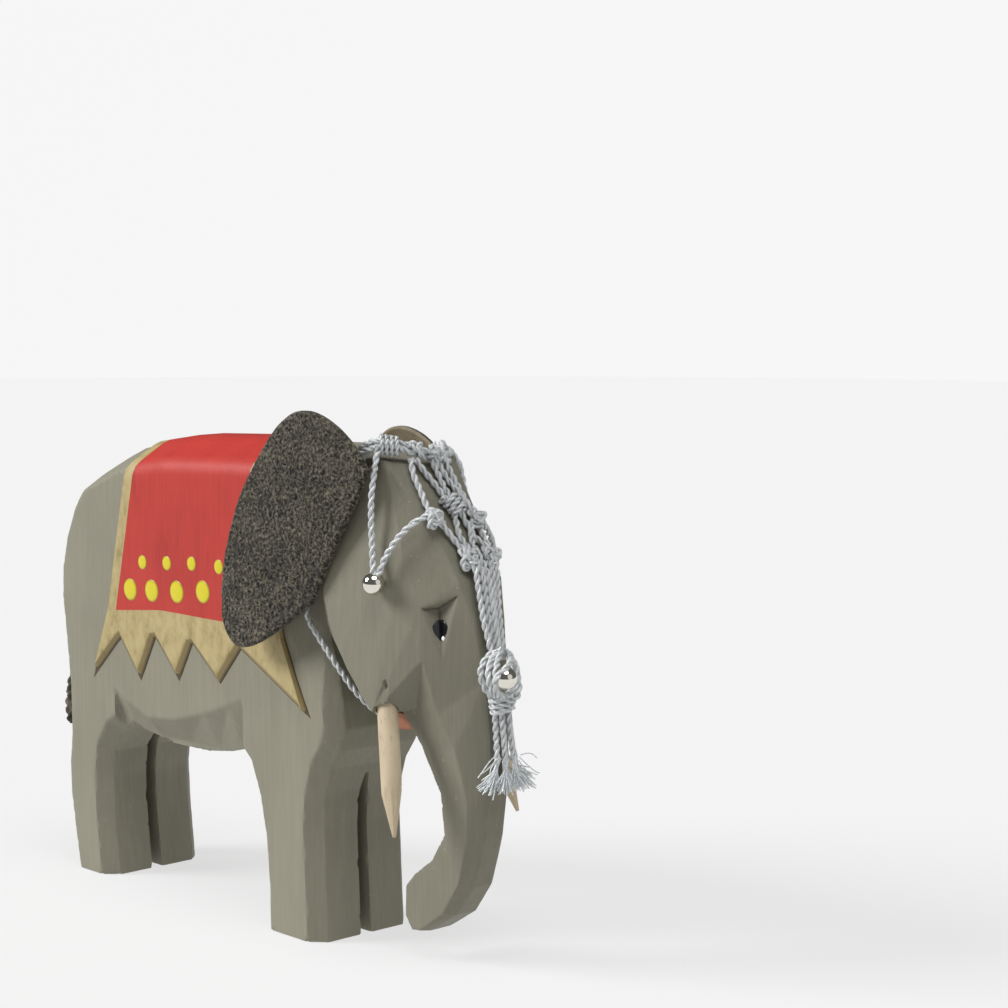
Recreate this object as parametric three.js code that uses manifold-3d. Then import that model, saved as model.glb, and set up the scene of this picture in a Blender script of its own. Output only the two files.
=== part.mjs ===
// A carved wooden elephant with leather ears, beech tusks and a knotted cord headdress.
// Millimetres, +X towards the trunk, +Y the elephant's left, +Z up, standing on z = 0.
import * as THREE from "three";
import { ConvexGeometry } from "three/addons/geometries/ConvexGeometry.js";
import { mergeVertices } from "three/addons/utils/BufferGeometryUtils.js";
import Module from "manifold-3d";

const wasm = await Module();
wasm.setup();

// ---- driving dimensions ----
const BODY_HALF_WIDTH = 22.5; // the plank-like body and legs
const CHAMFER_ACROSS = 5.2; // knife chamfer, measured across the body's width
const CHAMFER_ALONG = 5.6; // the same chamfer, measured in from the side outline
const CLOTH_RELIEF = 1.5; // how far the carved saddle cloth stands proud
const LEG_GAP = 5; // saw cut between the left and the right legs
const SEAM_X = 72; // glued seam between the body block and the head block
const GLUE_GAP = 0.3; // room left between two pieces that touch
const GROUND_BLOCK = 12; // depth of the wood sawn off flat under the feet
const TUSK_RADIUS = 3.6;
const TUSK_SOCKET_DEPTH = 9;
const DOWEL_RADIUS = 4;
const DOWEL_LENGTH = 24;
const EAR_THICKNESS = 2.8;
const RIGHT_EAR_FLARE = THREE.MathUtils.degToRad(6); // how far it stands out from the body's side
const LEFT_EAR_FLARE = THREE.MathUtils.degToRad(4);
const LEFT_EAR_DROP = 12.5; // the left ear is set this much lower along its slot
const LEFT_EAR_SETBACK = 5; // and this much further back
const CORD_RADIUS = 1.15;
const BUNDLE_RADIUS = 3.4;
const BAND_RADIUS = 2.9;
const BEAD_RADIUS = 3.9;
const BEAD_HOLE_RADIUS = 1.5;
const ORIGIN_X = 16.1; // from the middle of the four feet to the middle of the whole figure

// ---- finishes ----
const STAINED_WOOD = { color: 0x8a8576, roughness: 0.72, metalness: 0 };
const BEECH = { color: 0xdcc6a0, roughness: 0.6, metalness: 0 };
const EAR_LEATHER = { color: 0x5b564a, roughness: 0.95, metalness: 0 };
const TAIL_LEATHER = { color: 0x55503f, roughness: 0.9, metalness: 0 };
const SILVER_CORD = { color: 0xb9c0c6, roughness: 0.45, metalness: 0.4 };
const NICKEL = { color: 0xd8d8d0, roughness: 0.12, metalness: 1 };

// ---- small helpers ----
const vec = (p) => new THREE.Vector3(...p);
const mirror = (points) => [...points, ...points.map(([x, y, z]) => [x, -y, z])];

/** A closed geometry as a manifold-3d solid, for joining and cutting. */
function solid(geometry) {
  const plain = geometry.index ? geometry.toNonIndexed() : geometry.clone();
  plain.deleteAttribute("normal");
  plain.deleteAttribute("uv");
  const merged = mergeVertices(plain, 1e-4);
  return new wasm.Manifold(
    new wasm.Mesh({
      numProp: 3,
      vertProperties: new Float32Array(merged.attributes.position.array),
      triVerts: new Uint32Array(merged.index.array),
    }),
  );
}

/** A solid back as a flat-shaded three.js geometry. */
function geometryOf(made) {
  const { vertProperties, triVerts } = made.getMesh();
  const geometry = new THREE.BufferGeometry()
    .setAttribute("position", new THREE.BufferAttribute(new Float32Array(vertProperties), 3))
    .setIndex(new THREE.BufferAttribute(new Uint32Array(triVerts), 1))
    .toNonIndexed();
  geometry.computeVertexNormals();
  return geometry;
}

/** The convex solid round a set of [x, y, z] points. */
const hull = (points) => solid(new ConvexGeometry(points.map(vec)));

/** Convex solids from each section to the next, joined: a knife-cut form with flat facets. */
function hullChain(sections) {
  let made = null;
  for (let i = 1; i < sections.length; i++) {
    const link = hull([...sections[i - 1], ...sections[i]]);
    made = made ? made.add(link) : link;
  }
  return made;
}

/** A side outline of [x, z] points cut through the whole width, with chamfered edges. */
function chamferedSlab(outline, halfWidth, across, along, grow = 0) {
  const shape = new THREE.Shape(outline.map(([x, z]) => new THREE.Vector2(x, z)));
  const geometry = new THREE.ExtrudeGeometry(shape, {
    depth: 2 * (halfWidth - across),
    bevelEnabled: across > 0,
    bevelThickness: across,
    bevelSize: along,
    bevelOffset: grow - along,
    bevelSegments: 1,
  });
  geometry.translate(0, 0, across - halfWidth);
  geometry.rotateX(Math.PI / 2);
  return solid(geometry);
}

/** A cylinder between two points, as a solid. */
function rod(from, to, radius, sides = 24) {
  const [a, b] = [vec(from), vec(to)];
  const geometry = new THREE.CylinderGeometry(radius, radius, a.distanceTo(b), sides);
  const turn = new THREE.Quaternion().setFromUnitVectors(
    new THREE.Vector3(0, 1, 0),
    b.clone().sub(a).normalize(),
  );
  geometry.applyQuaternion(turn);
  geometry.translate(...a.clone().lerp(b, 0.5));
  return solid(geometry);
}

/** A round tube along a smooth curve through the points, with closed ends. */
function tube(points, radius, sides = 8) {
  const curve = new THREE.CatmullRomCurve3(points.map(vec));
  const step = 5 * radius;
  const section = new THREE.Shape(
    Array.from({ length: sides }, (_, i) => {
      const turn = (2 * Math.PI * i) / sides;
      return new THREE.Vector2(radius * Math.cos(turn), radius * Math.sin(turn));
    }),
  );
  return new THREE.ExtrudeGeometry(section, {
    steps: Math.max(3, Math.ceil(curve.getLength() / step)),
    extrudePath: curve,
    bevelEnabled: false,
  });
}

/** A named mesh with its own material. */
function piece(name, geometry, finish) {
  const mesh = new THREE.Mesh(geometry, new THREE.MeshStandardMaterial(finish));
  mesh.name = name;
  return mesh;
}

// ---- the body block: torso and four legs in one piece of wood ----

// The side outline, from the rear foot up over the rump and back, and down the chest.
const BODY_OUTLINE = [
  [-83.4, -GROUND_BLOCK], [-84.6, 0], [-87, 12], [-90, 28], [-90.4, 42], [-88.8, 54], [-89.2, 72],
  [-91.6, 92], [-93.6, 107], [-93, 120], [-89.4, 133], [-83.4, 145.4], [-74.4, 155.6], [-63, 162.4],
  [-50, 167.2], [-35, 170.4], [-20, 172.4], [0, 173.8], [24, 174.8], [48, 175.6], [SEAM_X, 176.4], [SEAM_X, 110],
  [75.5, 101], [78.6, 88], [79.6, 78], [77, 70], [71.6, 62.5], [68.6, 53], [67.4, 41], [69.4, 0],
  [69.6, -GROUND_BLOCK], [37, -GROUND_BLOCK], [37.2, 0], [36.8, 18], [35.4, 33], [32.2, 47], [27.8, 57.5], [22, 62.6],
  [11, 59.5], [-5, 57.2], [-25, 57.2], [-38, 59.6], [-47, 62], [-55.5, 57.5], [-61.2, 49], [-62.6, 38],
  [-62, 24], [-59.2, 0], [-58.6, -GROUND_BLOCK],
];

// Where the back's long edges are planed down, as [x, height of the crown there].
const BACK_CROWN = [[-120, 138], [-90, 148], [-74.4, 157.6], [-50, 167.6], [-20, 172.4], [24, 174.8], [90, 176.6]];
const BACK_EDGE_DROP = 8.4; // from the crown down to the side face
const BACK_EDGE_INSET = 14.5; // from the side face in to the crown

/** The planed facet along one long edge of the back, lifted by the cloth's relief where it has one. */
function backCut(side, lift) {
  const half = BODY_HALF_WIDTH + lift;
  return hullChain(
    BACK_CROWN.map(([x, crown]) => [
      [x, side * half, crown + lift - BACK_EDGE_DROP],
      [x, side * (half - BACK_EDGE_INSET), crown + lift],
      [x, side * (half - BACK_EDGE_INSET), crown + 12],
      [x, side * (half + 6), crown + 12],
      [x, side * (half + 6), crown + lift - BACK_EDGE_DROP],
    ]),
  );
}

// The carved underside between the legs, as [x, height of its upper edge, depth of the cut].
const BELLY_FACET = [
  [-53.7, 76, 4.5], [-46, 71.5, 5.5], [-32, 67.1, 6.5], [-15, 68.7, 7.5], [3, 73.5, 8], [18.6, 79.1, 8],
  [27.4, 83.1, 7],
];
const BELLY_CUT_FLOOR = 50;

/** The facet under one side of the belly, as the wood that the knife takes away. */
function bellyCut(side) {
  const outer = side * (BODY_HALF_WIDTH + 3);
  const edge = side * (BODY_HALF_WIDTH + 0.01);
  return hullChain(
    BELLY_FACET.map(([x, top, depth]) => [
      [x, edge, top],
      [x, outer, top + 3],
      [x, outer, BELLY_CUT_FLOOR],
      [x, side * (BODY_HALF_WIDTH - depth), BELLY_CUT_FLOOR],
      [x, side * (BODY_HALF_WIDTH - depth), 59],
    ]),
  );
}

/** The facet that narrows one side of the neck towards the head. */
function neckCut(side) {
  const y = (v) => side * v;
  const outer = y(BODY_HALF_WIDTH + 4);
  const edge = y(BODY_HALF_WIDTH + 0.01);
  const ahead = 84;
  return hullChain([
    [[74, edge, 86], [ahead, edge, 86], [ahead, outer, 86], [74, outer, 86]],
    [[55, edge, 110], [ahead, y(16), 110], [ahead, outer, 110], [55, outer, 110]],
    [[46, edge, 140], [ahead, y(15.5), 140], [ahead, outer, 140], [46, outer, 140]],
    [[44, edge, 182], [ahead, y(15), 182], [ahead, outer, 182], [44, outer, 182]],
  ]);
}

/** The saw cut between a left and a right leg, pointed at the top. */
function legGapCut(fromX, toX, height) {
  const half = LEG_GAP / 2;
  return hull([fromX, toX].flatMap((x) => mirror([[x, half, -2 * GROUND_BLOCK], [x, half - 0.4, height - 9], [x, 0.5, height]])));
}

// The saddle cloth's lower edge as pointed tabs, rear to front, then up its front edge.
const CLOTH_OUTLINE = [
  [-40.6, 184], [-42.4, 163.2], [-49.9, 130.7], [-55.5, 106.3], [-67.5, 77.8], [-48.5, 95.2], [-35.7, 80.7],
  [-25.8, 98.2], [-11.1, 83.8], [-2.3, 98.9], [14.4, 86.2], [27.1, 100.5], [66.7, 81], [59.7, 93.7],
  [52.7, 108.3], [47, 130.7], [42, 163.2], [41, 184],
];

/** The carved saddle cloth: a raised band over the back and down both sides. */
function saddleCloth() {
  const raised = chamferedSlab(
    BODY_OUTLINE, BODY_HALF_WIDTH + CLOTH_RELIEF, CHAMFER_ACROSS, CHAMFER_ALONG, CLOTH_RELIEF,
  );
  const cut = raised.intersect(chamferedSlab(CLOTH_OUTLINE, BODY_HALF_WIDTH + 5, 0, 0));
  return cut.subtract(backCut(-1, CLOTH_RELIEF)).subtract(backCut(1, CLOTH_RELIEF));
}

const dowelEnds = (y, z) => [[SEAM_X - DOWEL_LENGTH / 2, y, z], [SEAM_X + DOWEL_LENGTH / 2, y, z]];
const DOWELS = { neck_dowel_upper: [0, 160], neck_dowel_lower: [0, 132] };

/** The blind holes for the neck's dowels, a little longer and wider than the dowels. */
function dowelHoles() {
  const holes = Object.values(DOWELS).map(([y, z]) => {
    const [rear, front] = dowelEnds(y, z);
    return rod([rear[0] - 1, y, z], [front[0] + 1, y, z], DOWEL_RADIUS + GLUE_GAP);
  });
  return holes[0].add(holes[1]);
}

const TAIL_SOCKET = { at: [-91, 0, 121], radius: 3.2, depth: 8 };

function bodyBlock() {
  let wood = chamferedSlab(BODY_OUTLINE, BODY_HALF_WIDTH, CHAMFER_ACROSS, CHAMFER_ALONG);
  for (const side of [-1, 1])
    wood = wood.subtract(bellyCut(side)).subtract(neckCut(side)).subtract(backCut(side, 0));
  wood = wood.add(saddleCloth());
  wood = wood.subtract(legGapCut(-110, -30, 60)).subtract(legGapCut(25, 110, 60));
  const [x, y, z] = TAIL_SOCKET.at;
  const tailHole = rod([x - 10, y, z], [x + TAIL_SOCKET.depth, y, z], TAIL_SOCKET.radius, 16);
  const ground = new THREE.BoxGeometry(400, 100, 2 * GROUND_BLOCK).translate(0, 0, -GROUND_BLOCK);
  return geometryOf(wood.subtract(solid(ground)).subtract(tailHole).subtract(dowelHoles()));
}

// ---- the head block: skull, cheeks, jaw and trunk in one piece of wood ----

const HEAD_BACK_X = SEAM_X + GLUE_GAP;

// The forehead: a flat face from the crown's front edge down to the brow.
const FOREHEAD_TOP = new THREE.Vector3(104.2, 0, 172.2);
const FOREHEAD_BOTTOM = new THREE.Vector3(130.4, 0, 134.5);
const FOREHEAD_DOWN = FOREHEAD_BOTTOM.clone().sub(FOREHEAD_TOP).normalize();
const FOREHEAD_OUT = new THREE.Vector3(-FOREHEAD_DOWN.z, 0, FOREHEAD_DOWN.x);

/** A point on the forehead: down from its top edge, sideways, and lifted off the wood. */
function onForehead(down, y, lift) {
  const p = FOREHEAD_TOP.clone().addScaledVector(FOREHEAD_DOWN, down).addScaledVector(FOREHEAD_OUT, lift);
  return [p.x, y, p.z];
}

/** A corner on the right cheek's flat face, which leans in towards the crown and the brow. */
const onCheek = (x, z) => [x, -(27 - 0.21 * (x - 80) - 0.1 * (z - 128)), z];

// Corners of the right half of the skull; the cheek stands wider than the neck.
const SKULL_CORNERS = [
  [HEAD_BACK_X, -9, 176.8], [HEAD_BACK_X, -17.5, 174.5], [HEAD_BACK_X, -20, 116], [HEAD_BACK_X, -12, 112],
  onCheek(79.7, 127.8), onCheek(81.5, 139), [99.6, -15.6, 173.6], onCheek(111.4, 145.6),
  [119.6, -17.7, 125.4], [120.5, -17.6, 107.9], onCheek(84, 117.4), onCheek(92.6, 102.4),
  onCheek(99, 94.5), onCheek(104.6, 88.6), [104.2, -9.7, 172.2], [130.4, -9.5, 134.5], [98, -12, 86],
  [134.8, -7, 120.9], [114, -14, 90],
];

// The trunk from the brow to its curled tip: each entry holds the right-hand corners of a cut
// across it, as front ridge, side ridge and inner edge.
const TRUNK_SECTIONS = [
  [[130.4, -9.5, 134.5], [119.6, -17.7, 125.4], [96, -16, 106]],
  [[134.8, -7, 120.9], [120.5, -17.6, 107.9], [103, -15, 93]],
  [[138.2, -5.2, 102], [124.5, -14, 89.5], [107, -12.4, 85]],
  [[139.8, -4.2, 83.8], [130.4, -11.6, 78], [112, -10.4, 76.5]],
  [[139.6, -3.9, 65], [133.4, -9, 59.7], [120.3, -9.2, 61]],
  [[137.2, -3.7, 48.3], [132.4, -8.4, 46], [122, -9, 47]],
  [[131.6, -4, 29.6], [128, -8.2, 30.6], [115.6, -9, 37]],
  [[123, -4.6, 18.4], [119.4, -7.8, 18.6], [106, -8.8, 30.2]],
  [[109.6, -4.6, 10.2], [107.6, -7.8, 10.4], [101, -8.2, 25.2]],
];
const TRUNK_TIP = [[104, -4, 9.4], [103, -7.4, 9.8], [99.6, -4, 14.4], [99.8, -7.4, 14.2], [99.6, -6.6, 23.4]];

/** The wood taken out between the jaw and the trunk, where the mouth corner is. */
function mouthCut(side) {
  const y = (v) => side * v;
  return hull([
    [110, y(28), 103], [107, y(17), 101.6], [113, y(29), 79], [108.6, y(14), 79], [103, y(30), 84],
    [103.4, y(15), 84],
  ]);
}

/** The three-cornered hollow that the eye is painted in. */
function eyeCut(side) {
  const deep = new THREE.Vector3(122.9, side * 12.6, 124.4);
  const surface = [[119.9, -17.7, 125.4], [130.4, -9.8, 130.4], [125.5, -13.3, 112]];
  const opened = surface.map(([x, y, z]) => {
    const corner = new THREE.Vector3(x, -side * y, z);
    return corner.clone().sub(deep).multiplyScalar(1.3).add(deep).toArray();
  });
  return hull([deep.toArray(), ...opened]);
}

// The right tusk's line, from inside the jaw to its point.
const TUSK_ROOT = new THREE.Vector3(104.6, -19.6, 95);
const TUSK_TIP = new THREE.Vector3(118.6, -28.4, 48.8);
const TUSK_AXIS = TUSK_TIP.clone().sub(TUSK_ROOT).normalize();

/** A point on the tusk's line, mirrored to the wanted side. */
function onTusk(side, distance) {
  const p = TUSK_ROOT.clone().addScaledVector(TUSK_AXIS, distance);
  return [p.x, -side * p.y, p.z];
}

function headBlock() {
  const section = (corners) => mirror(corners);
  let wood = hull(mirror(SKULL_CORNERS));
  wood = wood.add(hullChain([...TRUNK_SECTIONS.map(section), section(TRUNK_TIP)]));
  for (const side of [-1, 1]) {
    const socket = rod(onTusk(side, -TUSK_SOCKET_DEPTH), onTusk(side, 14), TUSK_RADIUS + GLUE_GAP);
    wood = wood.subtract(mouthCut(side)).subtract(eyeCut(side)).subtract(socket);
  }
  return geometryOf(wood.subtract(dowelHoles()));
}

/** A tusk: a round peg, knife-tapered to a blunt point over its lower third. */
function tusk(side) {
  const start = onTusk(side, -TUSK_SOCKET_DEPTH + 1);
  const length = vec(start).distanceTo(vec(onTusk(side, TUSK_ROOT.distanceTo(TUSK_TIP))));
  const profile = [[0, 0], [TUSK_RADIUS, 0], [TUSK_RADIUS, length * 0.66], [TUSK_RADIUS * 0.72, length * 0.82],
    [0.9, length - 1.2], [0.4, length], [0, length]];
  const geometry = new THREE.LatheGeometry(profile.map(([r, h]) => new THREE.Vector2(r, h)), 20);
  const down = new THREE.Vector3(TUSK_AXIS.x, -side * TUSK_AXIS.y, TUSK_AXIS.z);
  geometry.applyQuaternion(new THREE.Quaternion().setFromUnitVectors(new THREE.Vector3(0, 1, 0), down));
  geometry.translate(...start);
  return geometryOf(solid(geometry));
}

// ---- ears, cut from leather and fixed along a line behind each cheek ----

const EAR_SLOT_BOTTOM = new THREE.Vector3(78.6, -28.6, 127.4);
const EAR_SLOT_TOP = new THREE.Vector3(101.6, -22.9, 172.6);

// The leaf's outline: back from the slot, and up along it from the slot's lower end.
const EAR_OUTLINE = [
  [-0.4, -4], [0.2, 46], [1.6, 49], [6, 51.6], [12.6, 53.8], [20, 54.8], [28, 54.2], [35, 52], [41.2, 47.4],
  [45.4, 40.2], [47.8, 31], [49.4, 19.5], [49.5, 6], [46, -9.5], [42.8, -18], [39.3, -25.6], [34, -33.2], [28, -36.6],
  [22.4, -36.8], [17.6, -33.8], [12.6, -27.6], [6, -16.6],
];

/** The ear's own axes: back along the leaf, up along the slot, and out of the leaf's face. */
function earFrame(side) {
  const up = EAR_SLOT_TOP.clone().sub(EAR_SLOT_BOTTOM).normalize();
  const angle = side > 0 ? LEFT_EAR_FLARE : RIGHT_EAR_FLARE;
  const flare = new THREE.Vector3(-Math.cos(angle), -Math.sin(angle), 0);
  const face = up.clone().cross(flare).normalize();
  const back = face.clone().cross(up);
  const flip = new THREE.Vector3(1, -side, 1);
  return {
    origin: EAR_SLOT_BOTTOM.clone().multiply(flip),
    back: back.multiply(flip),
    up: up.multiply(flip),
    face: face.multiply(flip),
  };
}

function ear(side) {
  const { origin, back, up, face } = earFrame(side);
  const drop = side > 0 ? LEFT_EAR_DROP : 0;
  const setback = side > 0 ? LEFT_EAR_SETBACK : 0;
  const outline = new THREE.Shape(EAR_OUTLINE.map(([b, u]) => new THREE.Vector2(b, u)));
  const leaf = new THREE.ExtrudeGeometry(outline, {
    depth: EAR_THICKNESS, bevelEnabled: false,
  });
  leaf.translate(setback, -drop, -EAR_THICKNESS / 2);
  const turn = new THREE.Matrix4().makeBasis(back, up, back.clone().cross(up));
  leaf.applyMatrix4(turn.setPosition(origin));
  return leaf;
}

// ---- the tail: a twisted leather strip with a ragged end ----

const TAIL_ROUTE = [
  [-84.5, 0, 121], [-90, 0, 121], [-96, -0.4, 119], [-99.6, -2, 112], [-100.6, -4, 98], [-101, -6, 84],
  [-102, -7.4, 72], [-103.6, -8, 62],
];

function tail() {
  const strip = solid(tube(TAIL_ROUTE, 2, 8));
  const tuft = hullChain([
    [[-102.4, -4.6, 68], [-104.8, -9.4, 68], [-100.6, -10, 69]],
    [[-99.4, -5.2, 60], [-107, -4.8, 58], [-107.4, -11, 59], [-100.6, -11.6, 61]],
    [[-100.4, -6, 52], [-107.6, -6, 51], [-107, -10.6, 50.4], [-101, -10.6, 54]],
  ]);
  return geometryOf(strip.add(tuft));
}

// ---- the headdress: silver cord knotted into a net on the forehead ----

// Knots, as [down the forehead, sideways, radius].
const KNOTS = {
  knot_brow_right: [22.7, -10.7, 3.6],
  knot_centre: [18.1, -1.3, 3.8],
  knot_brow_left: [24.3, 6.6, 3.6],
  knot_low_right: [39.3, -3.2, 4.2],
  knot_low_left: [39.6, 6.4, 4.2],
};
const knotCentre = (name, shift = 0) =>
  onForehead(KNOTS[name][0], KNOTS[name][1] + shift, KNOTS[name][2] + GLUE_GAP);
const CROWN_EDGE = { down: 4.2, lift: 3 }; // where the net's cords leave the crown band

/** A knot's outer shape: a rounded lump a little longer than it is wide. */
function knot(centre, radius, stretch = 1) {
  const geometry = new THREE.SphereGeometry(radius, 12, 8);
  geometry.scale(1, 1, stretch);
  geometry.translate(...centre);
  return geometry;
}

/** A straight net cord between two points, each end held back from its knot's surface. */
function netCord(from, fromRadius, to, toRadius) {
  const [a, b] = [vec(from), vec(to)];
  const along = b.clone().sub(a).normalize();
  const start = a.clone().addScaledVector(along, fromRadius + GLUE_GAP);
  const end = b.clone().addScaledVector(along, -toRadius - GLUE_GAP);
  return tube([start.toArray(), start.clone().lerp(end, 0.5).toArray(), end.toArray()], CORD_RADIUS);
}

// Cords from knot to knot, each with its end's sideways place in the knot, and the cords from
// the crown band, as [name, sideways at the crown, knot, sideways in the knot].
const KNOT_CORDS = [
  ["net_cord_right_low", "knot_brow_right", 0, "knot_low_right", -2],
  ["net_cord_centre_right", "knot_centre", -1.8, "knot_low_right", 1.6],
  ["net_cord_centre_left", "knot_centre", 1.8, "knot_low_left", -2],
  ["net_cord_left_low", "knot_brow_left", 0, "knot_low_left", 2],
];
const CROWN_CORDS = [
  ["crown_cord_right", -10.4, "knot_brow_right", 0],
  ["crown_cord_centre_right", -7.2, "knot_centre", -1.7],
  ["crown_cord_centre_left", -1.2, "knot_centre", 1.7],
  ["crown_cord_left", 3.6, "knot_brow_left", 0],
];

function foreheadNet() {
  const net = new THREE.Group();
  for (const [name, [, , radius]] of Object.entries(KNOTS))
    net.add(piece(name, knot(knotCentre(name), radius), SILVER_CORD));
  for (const [name, from, fromShift, to, toShift] of KNOT_CORDS) {
    const [start, end] = [knotCentre(from, fromShift), knotCentre(to, toShift)];
    net.add(piece(name, netCord(start, KNOTS[from][2], end, KNOTS[to][2]), SILVER_CORD));
  }
  for (const [name, y, to, toShift] of CROWN_CORDS) {
    const start = onForehead(CROWN_EDGE.down, y, CROWN_EDGE.lift);
    net.add(piece(name, netCord(start, 0, knotCentre(to, toShift), KNOTS[to][2]), SILVER_CORD));
  }
  return net;
}

// The thick band over the crown, from behind one ear to behind the other.
const CROWN_BAND_ROUTE = [
  [91.6, -17.6, 178.8], [95, -16.8, 179], [98.6, -14.4, 178.6], [101.8, -9.8, 177.6], [104.8, -3, 176.8],
  [106.4, 2.4, 175.8], [107.2, 7.4, 175], [105.8, 12.6, 175], [100.8, 17, 176.4], [94, 19.4, 177.8],
];

// The throat cord, from the band's end down behind the right ear and jaw to the other side.
const THROAT_ROUTE = [
  [84.6, -20, 176.4], [79, -21.4, 170], [74, -21.8, 160], [70, -21.4, 148], [67, -22, 136], [66, -23, 126],
  [67.6, -24, 117.6], [71.4, -23.6, 112.4], [76.4, -22.6, 106.4], [82, -20.6, 99], [87, -18.4, 92.6],
  [90.6, -13.6, 86.6], [92.6, -7, 83], [93.2, 0, 82],
];

// A side loop hangs from the crown band to a bead on the cheek and up to its brow knot.
const SIDE_LOOP_DOWN = [
  [100.2, -20.4, 171.2], [100.3, -21.1, 168], [100.5, -22.3, 162], [101, -23, 154], [101.8, -23.4, 147], [103.4, -24.4, 139.6],
];
const SIDE_LOOP_UP = [
  [107.4, -24.8, 137.4], [109.4, -23.8, 142.6], [111.6, -22.2, 147], [114.2, -19.2, 151.6], [115.6, -16.6, 154.2],
];
const SIDE_BEAD_AT = [105.4, -25.8, 133.2];

const flipSide = (points, side) => points.map(([x, y, z]) => [x, -side * y, z]);

/** One side loop: the cord runs down, through the bead, and up again. */
function sideLoop(side, word) {
  const loop = new THREE.Group();
  const [x, y, z] = SIDE_BEAD_AT;
  const top = [x, -side * y, z];
  const bead = solid(new THREE.SphereGeometry(BEAD_RADIUS, 20, 14).translate(...top));
  loop.add(piece(`side_cord_rear_${word}`, tube(flipSide(SIDE_LOOP_DOWN, side), CORD_RADIUS), SILVER_CORD));
  loop.add(piece(`side_cord_front_${word}`, tube(flipSide(SIDE_LOOP_UP, side), CORD_RADIUS), SILVER_CORD));
  const hole = rod([x, -side * y, z - 1], [x, -side * y, z + 6], BEAD_HOLE_RADIUS, 12);
  loop.add(piece(`side_bead_${word}`, geometryOf(bead.subtract(hole)), NICKEL));
  return loop;
}

// The gathered cords down the front of the trunk, their knot, its bead and the tassel.
const BUNDLE_ROUTE = [[136.4, -2.4, 134], [137.6, -3.4, 128], [139.4, -4.2, 121.4], [142, -4.8, 115.6]];
const TRUNK_KNOT = { at: [144.8, -5, 103.2], half: [4.4, 7.2, 10.8] };
const TRUNK_BEAD_AT = [149.4, -6.2, 104.4];
const TASSEL_TOP = [145.8, -5, 91.8];
const TASSEL_MIDDLE = [146.2, -4.2, 80];
const TASSEL_BOTTOM = [146.6, -3.2, 66];

function trunkKnot() {
  const geometry = new THREE.SphereGeometry(1, 16, 10);
  geometry.scale(...TRUNK_KNOT.half);
  geometry.translate(...TRUNK_KNOT.at);
  const seat = new THREE.SphereGeometry(BEAD_RADIUS + GLUE_GAP, 20, 14).translate(...TRUNK_BEAD_AT);
  return geometryOf(solid(geometry).subtract(solid(seat)));
}

/** The tassel: cord ends under the knot, spreading towards their frayed tips. */
function tassel() {
  const ring = ([x, y, z], halfX, halfY) =>
    mirror([[halfX, halfY, 0], [-halfX, halfY, 0]]).map(([a, b]) => [x + a, y + b, z]);
  return geometryOf(
    hullChain([
      ring(TASSEL_TOP, 2.2, 3),
      ring(TASSEL_MIDDLE, 2.6, 5),
      ring(TASSEL_BOTTOM, 3.2, 9),
    ]),
  );
}

function headdress() {
  const dress = new THREE.Group();
  dress.add(piece("crown_band", tube(CROWN_BAND_ROUTE, BAND_RADIUS, 10), SILVER_CORD));
  const throat = [...THROAT_ROUTE, ...flipSide(THROAT_ROUTE, 1).reverse().slice(1)];
  dress.add(piece("throat_cord", tube(throat, CORD_RADIUS), SILVER_CORD));
  dress.add(foreheadNet(), sideLoop(-1, "right"), sideLoop(1, "left"));
  dress.add(piece("trunk_bundle", tube(BUNDLE_ROUTE, BUNDLE_RADIUS, 10), SILVER_CORD));
  dress.add(piece("trunk_knot", trunkKnot(), SILVER_CORD));
  dress.add(piece("trunk_bead", new THREE.SphereGeometry(BEAD_RADIUS, 20, 14).translate(...TRUNK_BEAD_AT), NICKEL));
  dress.add(piece("tassel", tassel(), SILVER_CORD));
  return dress;
}

// ---- the whole figure ----

const elephant = new THREE.Group();
elephant.add(piece("body_block", bodyBlock(), STAINED_WOOD), piece("head_block", headBlock(), STAINED_WOOD));
for (const [name, [y, z]] of Object.entries(DOWELS))
  elephant.add(piece(name, geometryOf(rod(...dowelEnds(y, z), DOWEL_RADIUS)), BEECH));
for (const [side, word] of [[-1, "right"], [1, "left"]]) {
  elephant.add(piece(`tusk_${word}`, tusk(side), BEECH));
  elephant.add(piece(`ear_${word}`, ear(side), EAR_LEATHER));
}
elephant.add(piece("tail", tail(), TAIL_LEATHER), headdress());
elephant.position.x = -ORIGIN_X;

const part = new THREE.Group();
part.add(elephant);
export default part;
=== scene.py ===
"""A knife-carved wooden elephant with leather ears, beech tusks and a knotted silver cord headdress.

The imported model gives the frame. Each class below builds the finished look of one sub-assembly round it:
the carved blocks, the painted saddle cloth, ears, tusks, tail, beads and the corded headdress.
Millimetres in the tables are measured from the middle of the four feet; the frame is in metres.
"""

import logging
import math
from dataclasses import dataclass, field
from enum import Enum
from typing import Any, Sequence

import bmesh
import bpy
import numpy as np
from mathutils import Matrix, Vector, noise
from mathutils.bvhtree import BVHTree
from mathutils.geometry import delaunay_2d_cdt
from mathutils.kdtree import KDTree


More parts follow.
